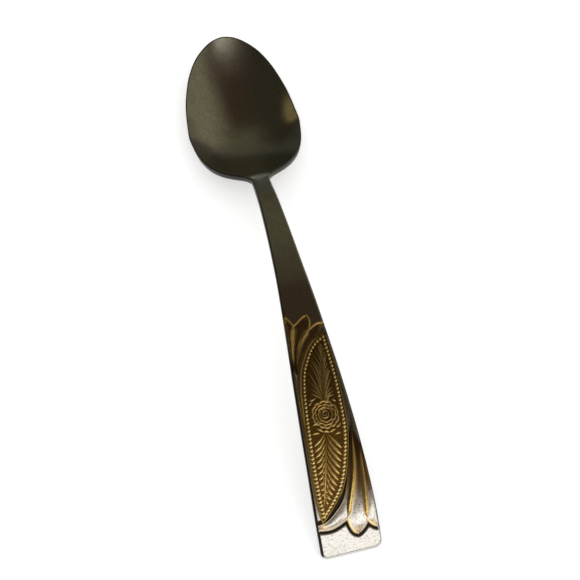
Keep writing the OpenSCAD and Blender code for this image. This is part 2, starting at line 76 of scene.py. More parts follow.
class SPOON_PG_blank(bpy.types.PropertyGroup):
    """Sizes of the steel blank, in millimetres from the handle's end."""

    handle_l: size("Handle", "Length from the handle's end to the start of the bowl", 90.0)
    end_w: size("End width", "Width near the handle's end", 14.0)
    corner_r: size("Corners", "Radius of the two corners at the handle's end", 1.6)
    end_t: size("End thickness", "Thickness at the very end of the handle", 1.3)
    handle_t: size("Handle thickness", "Thickness of the handle", 1.7)
    crest_h: size("Crest height", "Height of the top face at the crest of the arch", 18.0)
    crest_l: size("Crest place", "Distance from the handle's end to the crest", 58.0)
    shoulder_r: size("Upper edge", "Rounding along the handle's upper edges", 0.45)
    belly_r: size("Lower edge", "Rounding along the handle's lower edges", 0.6)
    plain_l: size("Plain tip", "Length of the plain tip beyond the ornament", 3.4)
    panel_end_l: size("Panel end", "Where the panel turns into the stem", 53.0)
    stem_w: size("Stem width", "Width where the panel turns into the stem", 8.5)
    neck_w: size("Neck width", "Width of the neck at its narrowest", 4.5)
    neck_t: size("Neck thickness", "Thickness of the neck", 2.2)
    neck_l: size("Neck", "Length of the neck before the bowl", 11.0)
    neck_h: size("Neck height", "Height of the top face where the bowl starts", 11.4)
    bowl_l: size("Bowl", "Length of the bowl with its shoulders", 48.0)
    bowl_w: size("Bowl width", "Width of the bowl", 29.6)
    bowl_t: size("Bowl thickness", "Thickness of the bowl", 1.25)
    tip_h: size("Tip height", "Height of the rim at the bowl's tip", 8.85)
    rim_h: size("Rim height", "Height of the rim at its lowest", 5.8)
    deep_l: size("Deepest place", "Distance from the start of the bowl to its floor", 23.0)
    sag_l: size("Rim's low", "Distance from the start of the bowl to the rim's lowest place", 26.0)
    rim_r: size("Rim rounding", "Rounding of the bowl's rim", 0.4)
    ease: size("Ease", "How far the side profile's bends are softened along the spoon", 1.6)


# ---------------------------------------------------------------- curves and shapes


def eased(at, value, x):
    """Smooth value of a knot table at x: cubics between the knots, whose slopes are the harmonic
    mean of the neighbouring secants, so that the curve never overshoots a knot."""
    at, value = np.asarray(at, float), np.asarray(value, float)
    gap = np.diff(at)
    rise = np.diff(value) / gap
    before, after = rise[:-1], rise[1:]
    keep = before * after > 0
    mean = np.where(keep, 2 * before * after / np.where(keep, before + after, 1), 0)
    slope = np.concatenate([[rise[0]], mean, [rise[-1]]])
    x = np.asarray(x, float)
    i = np.clip(np.searchsorted(at, x) - 1, 0, len(gap) - 1)
    t = np.clip((x - at[i]) / gap[i], 0, 1)
    return (value[i] * (1 + 2 * t) * (1 - t) ** 2 + slope[i] * gap[i] * t * (1 - t) ** 2
            + value[i + 1] * t * t * (3 - 2 * t) + slope[i + 1] * gap[i] * t * t * (t - 1))


def ramp(x, low, high):
    """0 below low, 1 above high, and the cubic 3t² − 2t³ between them."""
    t = np.clip((np.asarray(x, float) - low) / (high - low), 0, 1)
    return t * t * (3 - 2 * t)


def softened(step, value, reach):
    """A line of evenly spaced values under a bell curve of the given reach, with its two ends
    continued straight."""
    n = int(4 * reach / step)
    bell = np.exp(-0.5 * (np.arange(-n, n + 1) * step / reach) ** 2)
    lead = value[0] + (value[1] - value[0]) * np.arange(-n, 0)
    tail = value[-1] + (value[-1] - value[-2]) * np.arange(1, n + 1)
    return np.convolve(np.concatenate([lead, value, tail]), bell / bell.sum(), "valid")


class Blank:
    """The blank's shape as functions of the distance y from the handle's end and of the turn q,
    which runs from 0 at the neck to 1 at the bowl's tip as y goes along half a cosine."""

    step = 0.05

    def __init__(self, s):
        self.s = s
        self.full_l = s.handle_l + s.bowl_l
        y = np.arange(0, self.full_l + self.step / 2, self.step)
        crest, start = s.crest_l, s.handle_l
        floor, low = start + s.deep_l, start + s.sag_l
        rise = s.end_t + (s.crest_h - s.end_t) * eased(
            [0, 0.14, 0.31, 0.52, 0.72, 0.87, 0.96, 1],
            [0, 0.31, 0.585, 0.785, 0.91, 0.972, 0.997, 1], y / crest)
        fall = s.neck_h + (s.crest_h - s.neck_h) * eased(
            [0, 0.05, 0.16, 0.44, 0.81, 1], [1, 0.997, 0.957, 0.81, 0.41, 0],
            (y - crest) / (start - crest))
        dive = s.bowl_t + (s.neck_h - s.bowl_t) * eased(
            [0, 0.17, 0.3, 0.44, 0.61, 0.78, 1], [1, 0.79, 0.59, 0.38, 0.17, 0.05, 0],
            (y - start) / s.deep_l)
        climb = s.bowl_t + (s.tip_h - s.bowl_t) * eased(
            [0, 0.24, 0.48, 0.72, 0.92, 1], [0, 0.065, 0.26, 0.56, 0.865, 1],
            (y - floor) / (self.full_l - floor))
        droop = s.rim_h + (s.neck_h - s.rim_h) * eased(
            [0, 0.15, 0.27, 0.39, 0.54, 0.77, 1], [1, 0.66, 0.48, 0.35, 0.21, 0.06, 0],
            (y - start) / s.sag_l)
        lift = s.rim_h + (s.tip_h - s.rim_h) * eased(
            [0, 0.27, 0.55, 0.82, 1], [0, 0.065, 0.28, 0.66, 1], (y - low) / (self.full_l - low))
        handle = np.where(y <= crest, rise, fall)
        bowl = np.where(y <= floor, dive, climb)
        rim = np.where(y <= low, droop, lift)
        self.y = y
        self.mid = softened(self.step, np.where(y <= start, handle, bowl), s.ease)
        side = np.where(y <= start, 0, np.maximum(rim - bowl, 0))
        self.side = softened(self.step, side, s.ease) * ramp(self.full_l - y, 0, 0.6)
        self.tilt = np.gradient(self.mid, self.step)
        across = np.sqrt(1 + self.tilt ** 2)
        stout = s.handle_t + (s.neck_t - s.handle_t) * ramp(y, s.panel_end_l, start - s.neck_l)
        fade = eased([0, 0.3, 0.7, 1], [1, 0.8, 0.2, 0], np.clip((y - start) / s.deep_l, 0, 1))
        thick = np.where(y <= start, stout * across, s.bowl_t + (stout * across - s.bowl_t) * fade)
        self.thick = np.minimum(softened(self.step, thick, s.ease), self.mid)
        self.edge_r = s.shoulder_r + (s.rim_r - s.shoulder_r) * ramp(y, start, start + 6)
        self.lower_r = s.belly_r + (s.rim_r - s.belly_r) * ramp(y, start, start + 6)

    def at(self, line, y):
        """Value of one of the blank's lines at y."""
        return np.interp(y, self.y, line)

    def turn_y(self, q):
        """Distance along the spoon at the turn q of the bowl."""
        return self.s.handle_l + self.s.bowl_l * (1 - np.cos(np.pi * q)) / 2

    def handle_w(self, y):
        """Half width of the handle before its end corners are rounded."""
        s = self.s
        panel = s.stem_w / 2 + (s.end_w - s.stem_w) / 2 * eased(
            [0, 0.12, 0.37, 0.66, 0.93, 1], [1, 1, 0.845, 0.517, 0.105, 0], y / s.panel_end_l)
        taper = s.neck_w / 2 + (s.stem_w - s.neck_w) / 2 * eased(
            [0, 0.32, 0.73, 1], [1, 0.558, 0.178, 0],
            (y - s.panel_end_l) / (s.handle_l - s.panel_end_l))
        return np.where(y <= s.panel_end_l, panel, taper)

    def bowl_outline(self, q):
        """Half width of the bowl at the turn q: it swells to the widest place at 0.45 and closes
        to a point at 1, where the outline runs square across the spoon."""
        s = self.s
        swell = s.neck_w / 2 + (s.bowl_w - s.neck_w) / 2 * eased(
            [0, 0.13, 0.18, 0.21, 0.25, 0.3, 0.36, 0.45],
            [0, 0, 0.1, 0.32, 0.57, 0.77, 0.905, 1], q)
        close = s.bowl_w / 2 * eased(
            [0.45, 0.56, 0.67, 0.77, 0.87, 1], [1, 0.945, 0.815, 0.625, 0.36, 0], q)
        return np.where(q < 0.45, swell, close)

    def on_top(self, x, y, h):
        """Place at height h square to the handle's top face, over the plan place x, y."""
        tilt = self.at(self.tilt, y)
        c = np.sqrt(1 + tilt ** 2)
        return np.stack([x, y - h * tilt / c, self.at(self.mid, y) + h / c], -1)


# ---------------------------------------------------------------- meshes


def grid_faces(rows, cols, wrap=False, first=0, copies=1):
    """Quads between the neighbours of a grid of points, row by row; wrap closes each row. More
    copies of the grid may follow the first one."""
    k = np.arange(rows * cols).reshape(rows, cols) + first
    if wrap:
        k = np.concatenate([k, k[:, :1]], 1)
    one = np.stack([k[:-1, :-1], k[:-1, 1:], k[1:, 1:], k[1:, :-1]], -1).reshape(-1, 4)
    return (one + np.arange(copies)[:, None, None] * rows * cols).reshape(-1, 4)


def end_caps(rows, cols, copies=1):
    """Flat faces over the first and the last ring of each copy of a wrapped grid."""
    ring = np.arange(cols)
    return [cap for first in range(0, copies * rows * cols, rows * cols)
            for cap in (first + ring[::-1], first + (rows - 1) * cols + ring)]


def place_mesh(name, points, fields, quads=None, caps=(), merge=False):
    """Makes an object from points in millimetres, measured from the handle's end. The points are
    rows of rings, or several such grids, unless the quads are given. The quads are smooth and the
    caps flat. The faces are turned over where the signed volume, a sixth of the sum of
    a · (b × c) over the triangles, is negative, so that they point outwards."""
    if quads is None:
        rows, cols = points.shape[-3:-1]
        quads = grid_faces(rows, cols, wrap=True, copies=points[..., 0].size // (rows * cols))
    co = points.reshape(-1, 3)
    a, b, c, d = (co[quads[:, i]] for i in range(4))
    volume = np.sum(a * np.cross(b, c)) + np.sum(a * np.cross(c, d))
    for cap in caps:
        p, q, r = co[cap[0]], co[cap[1:-1]], co[cap[2:]]
        volume += np.sum(p * np.cross(q, r))
    if volume < 0:
        quads = quads[:, ::-1]
        caps = [cap[::-1] for cap in caps]
    mesh = bpy.data.meshes.new(name)
    loops = np.concatenate([quads.ravel(), *caps])
    count = np.concatenate([np.full(len(quads), 4), [len(cap) for cap in caps]]).astype(int)
    mesh.vertices.add(len(co))
    mesh.vertices.foreach_set("co", ((co - [0, spoon().full_l / 2, 0]) * MM).ravel())
    mesh.loops.add(len(loops))
    mesh.loops.foreach_set("vertex_index", loops.astype(np.int32))
    mesh.polygons.add(len(count))
    mesh.polygons.foreach_set("loop_start", np.concatenate([[0], np.cumsum(count)[:-1]]))
    mesh.polygons.foreach_set("use_smooth", np.arange(len(count)) < len(quads))
    for key, value in fields.items():
        layer = mesh.attributes.new(key, "FLOAT", "POINT")
        whole = np.broadcast_to(value, points.shape[:-1]).astype(np.float32)
        layer.data.foreach_set("value", whole.ravel())
    mesh.update(calc_edges=True)
    work = bmesh.new()
    work.from_mesh(mesh)
    if merge:
        bmesh.ops.remove_doubles(work, verts=work.verts, dist=WELD)
    for face in work.faces:
        if not face.smooth:
            for edge in face.edges:
                edge.smooth = False
    work.to_mesh(mesh)
    work.free()
    if mesh.validate():
        raise RuntimeError(name + " has faces that can't stand")
    piece = bpy.data.objects.new(name, mesh)
    bpy.context.collection.objects.link(piece)
    return piece


def dress(piece, slot, material, node):
    """Puts a piece in place of a CAD node, with its finish."""
    piece.name = piece.data.name = node + "_" + slot
    piece.data.materials.append(material)
    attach(piece, "root")
    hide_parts(node)


# ---------------------------------------------------------------- steel blank

# Turns of a rounded edge, and points across a top face and across an underside
ARC = np.radians(np.linspace(0, 90, 7))
PANEL_COLS = 121
STEM_COLS = 41
BOWL_COLS = 97
BELLY_COLS = 17


def spoon():
    """The blank's shape at its present sizes."""
    return Blank(bpy.context.scene.spoon_blank)


def dished(x, w):
    """How far up the bowl's side a place is: 0.85 u² + 0.15 u⁴, with u its share of the half
    width w."""
    u = np.clip(np.abs(x) / np.maximum(w, 1e-4), 0, 1)
    return 0.85 * u ** 2 + 0.15 * u ** 4


def run_rings(blank, inset_x, inset_y, normal, cols, width, relief=None):
    """Closed rings across the spoon, one for each row. The top goes from the left inset point to
    the right one, a quarter round of radius r carries it out along the outline's normal and down
    by r (1 − cos), and the underside comes back the same way, one thickness lower."""
    edge = blank.at(blank.edge_r, inset_y)[:, None]
    lower = np.minimum(blank.at(blank.lower_r, inset_y),
                       0.45 * blank.at(blank.thick, inset_y))[:, None]
    x0, y0 = inset_x[:, None], inset_y[:, None]
    nx, ny = normal[0][:, None], normal[1][:, None]
    u = np.linspace(-1, 1, cols)[None, :]
    v = np.linspace(1, -1, BELLY_COLS)[None, :]
    arc, back = ARC[None, 1:], ARC[None, :0:-1]
    give = edge - lower
    turn_x = np.concatenate([x0 + edge * np.sin(arc) * nx,
                             x0 + give * nx + lower * np.sin(back) * nx], 1)
    turn_y = np.concatenate([y0 + edge * np.sin(arc) * ny,
                             y0 + give * ny + lower * np.sin(back) * ny], 1)
    turn_drop = np.concatenate([edge * (1 - np.cos(arc)), -lower * (1 - np.cos(back))], 1)
    x = np.concatenate([x0 * u, turn_x, (x0 + give * nx) * v, -turn_x[:, ::-1]], 1)
    y = np.concatenate([y0 + 0 * u, turn_y, y0 + give * ny + 0 * v, turn_y[:, ::-1]], 1)
    drop = np.concatenate([0 * u * y0, turn_drop, 0 * v * y0, turn_drop[:, ::-1]], 1)
    low = np.concatenate([0 * u, 0 * arc, 1 + 0 * back, 1 + 0 * v, 1 + 0 * back, 0 * arc], 1)
    top = blank.at(blank.mid, y) + blank.at(blank.side, y) * dished(x, width(y))
    z = top - np.where(low > 0, blank.at(blank.thick, y), 0) - drop
    points = np.stack([x, y, np.maximum(z, 0)], -1)
    wall = np.concatenate([
        0 * u, np.sin(arc), np.sin(back), 0 * v, np.sin(back), np.sin(arc[:, ::-1])], 1)
    fields = {"wall": wall, "under": low}
    if relief is not None:
        lift = relief(x[:, :cols], y[:, :cols])
        points[:, :cols] = blank.on_top(x[:, :cols], y[:, :cols], lift)
        fields["relief"] = np.concatenate([lift, np.zeros_like(x[:, cols:])], 1)
        # The wall field also carries the painted shade along the handle's left edge
        fields["wall"] = np.maximum(wall, left_edge_shade(blank, x, y))
    return points, fields


def left_edge_shade(blank, x, y):
    """How dark the painted shade along the left edge of the handle is: full at the edge, gone 0.75
    mm in, and only over the first quarter of the handle."""
    inward = x + blank.handle_w(y)
    fade = 1 - ramp(y, 0.08 * blank.s.handle_l, 0.28 * blank.s.handle_l)
    return 0.6 * (1 - ramp(inward, 0.3, 0.75)) * fade


def handle_run(name, y, cols, relief=None):
    """A run of handle between two places, closed by a flat face at each end."""
    blank = spoon()
    square = (np.ones_like(y), np.zeros_like(y))
    inset = blank.handle_w(y) - blank.at(blank.edge_r, y)
    points, fields = run_rings(blank, inset, y, square, cols, lambda t: 1e6 + 0 * t, relief)
    return place_mesh(name, points, fields, caps=end_caps(*points.shape[:2]))


def tip_piece(relief):
    """The plain tip. Its outline runs down one side, round the corner, along the end, round the
    other corner and up. Inside it, one edge radius in, lie the top and the underside, as rows
    across; a collar of quarter rounds and a straight wall joins them along the outline."""
    blank = spoon()
    s = blank.s
    side_n, turn_n = 20, 10
    phi = np.radians(np.linspace(0, 90, turn_n + 1))

    def frame_rows(inset):
        small = s.corner_r - inset
        y = np.concatenate([inset + small * (1 - np.cos(phi)),
                            np.linspace(s.corner_r, s.plain_l, side_n + 1)[1:]])
        corner = np.concatenate([small * (np.sin(phi) - 1), np.zeros(side_n)])
        return blank.handle_w(y) - inset + corner, y

    u = np.linspace(-1, 1, PANEL_COLS)
    edge, low = float(s.shoulder_r), float(min(s.belly_r, 0.45 * s.end_t))
    parts, faces, first = [], [], 0
    for inset, under in ((edge, 0.0), (low, 1.0)):
        w, y = frame_rows(inset)
        x = w[:, None] * u
        parts.append((x, y[:, None] + 0 * x, 0 * x, under + 0 * x))
        quads = grid_faces(*x.shape, first=first)
        faces.append(quads if under else quads[:, ::-1])
        first += x.size
    straight, flat = np.zeros(side_n), np.zeros(PANEL_COLS - 2)
    nx = np.concatenate([straight + 1, np.sin(phi[::-1]), flat, -np.sin(phi), straight - 1])
    ny = np.concatenate([straight, -np.cos(phi[::-1]), flat - 1, -np.cos(phi), straight])
    steps = []
    for inset, arc, sign, under in ((edge, ARC, 1, 0.0), (low, ARC[::-1], -1, 1.0)):
        w, y = frame_rows(inset)
        px = np.concatenate([w[::-1], -w[0] * u[1:-1], -w])
        py = np.concatenate([y[::-1], flat + y[0], y])
        for t in arc:
            steps.append((px + inset * np.sin(t) * nx, py + inset * np.sin(t) * ny,
                          sign * inset * (1 - np.cos(t)) + 0 * px, under + 0 * px))
    parts.append([np.stack(line) for line in zip(*steps)])
    faces.append(grid_faces(*parts[-1][0].shape, first=first)[:, ::-1])
    x, y, fall, under = (np.concatenate([q.ravel() for q in field]) for field in zip(*parts))
    lift = np.where(under < 0.5, relief(x, y), 0)
    top = blank.on_top(x, y, lift)
    top[:, 2] -= fall
    bottom = blank.at(blank.mid, y) - blank.at(blank.thick, y) - fall
    points = np.where((under > 0.5)[:, None], np.stack([x, y, np.maximum(bottom, 0)], -1), top)
    # The wall field also carries the painted shade along the handle's left edge
    wall = np.maximum(np.clip(np.abs(fall) / edge, 0, 1), left_edge_shade(blank, x, y))
    fields = {"wall": wall, "under": under, "relief": lift}
    cap = tip_cap(*(part[0] for part in parts))
    return place_mesh("plain_tip", points, fields, np.concatenate(faces), [cap], merge=True)


def tip_cap(top, low, collar):
    """The flat face where the plain tip meets the panel: along the top row, down the collar's
    one end, back along the lower row and up its other end."""
    row = np.arange(top.shape[1])
    rim = top.size + low.size + np.arange(collar.size).reshape(collar.shape)
    return np.concatenate([top.size - 1 - row, rim[1:-1, -1],
                           top.size + low.size - len(row) + row, rim[1:-1, 0][::-1]])


def bowl_piece():
    """The bowl: rings at even turns q, whose inset line lies one rim radius inside the outline,
    along the outline's normal. The last ring closes to a line over the tip."""
    blank = spoon()
    rings, fine_n = 261, 4001
    q = np.linspace(0, 1, rings)
    fine = np.linspace(0, 1, fine_n)
    y_fine, w_drawn = blank.turn_y(fine), blank.bowl_outline(fine)
    nose = ramp(fine, 0.97, 1)
    w_fine = softened(fine[1], w_drawn, 0.012) * (1 - nose) + w_drawn * nose
    dy, dw = np.gradient(y_fine, fine), np.gradient(w_fine, fine)
    stride = np.maximum(np.hypot(dy, dw), 1e-9)
    nx, ny = np.interp(q, fine, dy / stride), np.interp(q, fine, -dw / stride)
    nx[0], ny[0], nx[-1], ny[-1] = 1, 0, 0, 1
    w, y = np.interp(q, fine, w_fine), blank.turn_y(q)
    w[-1] = 0
    r = blank.at(blank.edge_r, y)
    inset_x, inset_y = np.maximum(w - r * nx, 0), y - r * ny
    inset_x[-1] = 0
    points, fields = run_rings(blank, inset_x, inset_y, (nx, ny), BOWL_COLS,
                               lambda t: np.interp(t, y_fine, w_fine))
    first_cap = end_caps(*points.shape[:2])[:1]
    return place_mesh("bowl", points, fields, caps=first_cap, merge=True)


# ---------------------------------------------------------------- coined relief

# Ridge lines of the petals from tail to tip, in millimetres across and along the spoon, on an
# ornament of the drawn size
UPPER_EDGE = [(-4.85, 39.0), (-4.6, 43.0), (-4.35, 47.0), (-4.2, 50.0), (-4.05, 51.3)]
UPPER_AB = [(-4.5, 40.0), (-4.2, 43.3), (-3.65, 46.0), (-3.2, 47.9), (-2.7, 49.25)]
UPPER_AB_LEFT = [(-2.85, 49.9), (-3.25, 50.6), (-3.8, 51.5)]
UPPER_AB_RIGHT = [(-2.2, 49.6), (-1.5, 50.05), (-0.7, 50.6), (0.1, 51.05), (0.7, 51.25)]
UPPER_BC = [(-4.15, 37.6), (-3.85, 39.2), (-3.1, 42.0), (-1.95, 44.75), (-0.75, 46.5),
            (0.5, 47.75)]
UPPER_BC_LEFT = [(1.05, 48.7), (1.25, 49.7), (1.2, 50.5), (0.95, 51.1)]
UPPER_BC_RIGHT = [(1.0, 48.05), (1.75, 48.5), (2.5, 48.85), (3.2, 49.0), (4.0, 48.85)]
LOWER_INNER = [(4.9, 25.0), (3.9, 21.5), (3.0, 18.8), (2.3, 16.6), (1.7, 14.6), (1.0, 12.7),
               (0.1, 10.9), (-1.0, 9.6), (-2.0, 8.75), (-3.0, 7.95), (-4.2, 7.25), (-5.3, 6.9),
               (-6.4, 6.8)]
LOWER_AB = [(4.9, 25.5), (4.6, 22.5), (4.0, 18.5), (3.4, 16.0), (2.3, 12.8), (1.1, 9.6),
            (0.35, 7.4)]
LOWER_AB_LEFT = [(-0.3, 6.85), (-1.1, 6.55), (-2.0, 6.2), (-3.2, 5.85), (-4.6, 5.75),
                 (-6.4, 5.95)]
LOWER_AB_RIGHT = [(0.35, 6.4), (0.6, 5.4), (1.0, 4.5), (1.5, 3.95), (1.95, 3.8)]
LOWER_BC = [(6.0, 21.5), (5.85, 19.0), (5.5, 15.0), (5.1, 11.0), (4.8, 8.2), (4.55, 6.4)]
LOWER_BC_LEFT = [(4.3, 5.7), (3.8, 5.0), (3.1, 4.4), (2.4, 3.95)]
LOWER_BC_RIGHT = [(4.9, 5.5), (5.5, 4.85), (6.1, 4.45), (6.45, 4.3)]
LOWER_EDGE = [(6.15, 21.5), (6.3, 17.0), (6.4, 12.0), (6.5, 8.0), (6.5, 4.7)]

# Middle line of the medallion's beads, clockwise from its lower tip: shares of the ornament's
# length and of the local half width
MEDALLION = [
    (0.168, -0.71), (0.26, -0.755), (0.37, -0.76), (0.48, -0.73), (0.6, -0.68), (0.7, -0.6),
    (0.77, -0.47), (0.82, -0.25), (0.865, 0.03), (0.896, 0.37), (0.913, 0.72),
    (0.85, 0.715), (0.74, 0.705), (0.63, 0.65), (0.52, 0.57), (0.44, 0.44),
    (0.37, 0.28), (0.31, 0.12), (0.26, -0.08), (0.22, -0.33), (0.188, -0.56)]
MEDALLION_TIP = 10

# Each petal: its left and right ridge lines, each a shared run and its own outline to the tip,
# and how high each ridge stands, as a share of the full ridge. None stands for the band's foot.
PETALS = {
    "upper_petal_left": ((UPPER_EDGE, [], 0.15), (UPPER_AB, UPPER_AB_LEFT, 1.0)),
    "upper_petal_middle": ((UPPER_AB, UPPER_AB_RIGHT, 1.0), (UPPER_BC, UPPER_BC_LEFT, 1.0)),
    "upper_petal_right": ((UPPER_BC, UPPER_BC_RIGHT, 1.0), (None, [], 0.1)),
    "lower_petal_left": ((LOWER_INNER, [], 0.06), (LOWER_AB, LOWER_AB_LEFT, 1.0)),
    "lower_petal_middle": ((LOWER_AB, LOWER_AB_RIGHT, 1.0), (LOWER_BC, LOWER_BC_LEFT, 1.0)),
    "lower_petal_right": ((LOWER_BC, LOWER_BC_RIGHT, 1.0), (LOWER_EDGE, [], 0.3)),
}


# Size of the drawn ornament in millimetres, and where the band's foot meets the panel's edge
DRAWN_L = 50.0
DRAWN_W = 14.0
BAND_FOOT_TIP = (4.05, 48.3)


class SPOON_PG_ornament(bpy.types.PropertyGroup):
    """Sizes of the coined relief, in millimetres."""

    ornament_l: size("Ornament", "Length of handle that the ornament covers", 50.0)
    bead_d: size("Bead", "Diameter of a border bead", 0.8)
    bead_h: size("Bead height", "Height of a border bead above the ground", 0.3)
    bead_pitch: size("Bead pitch", "Distance from bead to bead", 0.86)
    band_gap: size("Band gap", "Gap between the beads and the plain band", 0.06)
    band_w: size("Band", "Width of the plain band beside the upper petals", 1.0)
    band_h: size("Band height", "Height of the plain band", 0.34)
    ground_t: size("Ground", "Height of the medallion's ground", 0.1)
    ridge_h: size("Ridge", "Height of the ridges along the petals' edges", 0.42)
    ridge_w: size("Ridge width", "Reach of a ridge to each side of its crest", 0.46)
    hollow_h: size("Hollow", "Height of the petals' hollows", 0.03)
    groove_d: size("Groove", "Depth of the grooves in the panel's face", 0.22)
    groove_w: size("Groove width", "Width of the groove round the lower petals", 0.7)
    gully_w: size("Gully width", "Width of the groove right of the medallion's lower half", 0.85)
    rose_r: size("Rose", "Radius of the rose's open petals", 3.0)
    heart_r: size("Heart", "Radius of the rose's wound heart", 1.35)
    rose_h: size("Rose height", "Height of the rose's petals at their rims", 0.42)
    leaf_h: size("Leaf height", "Height of the fronds and leaves", 0.26)
    leaflet_w: size("Leaflet", "Width of a lower leaflet", 0.8)


def through(points, n):
    """Smooth line through places: the cubic whose slope at each place is half the step between
    its neighbours, then n + 1 places at even distances along it."""
    p = np.asarray(points, float)
    p = np.concatenate([2 * p[:1] - p[1:2], p, 2 * p[-1:] - p[-2:-1]])
    m = len(p) - 3
    t = np.linspace(0, m, 24 * m + 1)
    i = np.minimum(t.astype(int), m - 1)
    t = (t - i)[:, None]
    a, b, c, d = p[i], p[i + 1], p[i + 2], p[i + 3]
    line = 0.5 * (2 * b + (c - a) * t + (2 * a - 5 * b + 4 * c - d) * t ** 2
                  + (3 * b - a - 3 * c + d) * t ** 3)
    run = run_along(line)
    even = np.linspace(0, run[-1], n + 1)
    return np.stack([np.interp(even, run, line[:, k]) for k in (0, 1)], -1)


def run_along(line):
    """Distance along a line of places, at each of them."""
    return np.concatenate([[0], np.cumsum(np.linalg.norm(np.diff(line, axis=0), axis=1))])


def distance_to(x, y, line):
    """Distance from each plan place to a line: over its straight pieces, the least distance to
    the nearest place of the piece."""
    best = np.full(x.shape, 1e9)
    for a, b in zip(line[:-1], line[1:]):
        along = b - a
        t = ((x - a[0]) * along[0] + (y - a[1]) * along[1]) / max(float(along @ along), 1e-12)
        t = np.clip(t, 0, 1)
        best = np.minimum(best, np.hypot(x - a[0] - along[0] * t, y - a[1] - along[1] * t))
    return best


def inside(x, y, outline):
    """Whether each plan place lies in a closed outline: a ray from it crosses an odd number of
    sides."""
    odd = np.zeros(x.shape, bool)
    for a, b in zip(outline, np.roll(outline, -1, axis=0)):
        if a[1] != b[1]:
            cross = a[0] + (y - a[1]) * (b[0] - a[0]) / (b[1] - a[1])
            odd ^= ((a[1] > y) != (b[1] > y)) & (x < cross)
    return odd


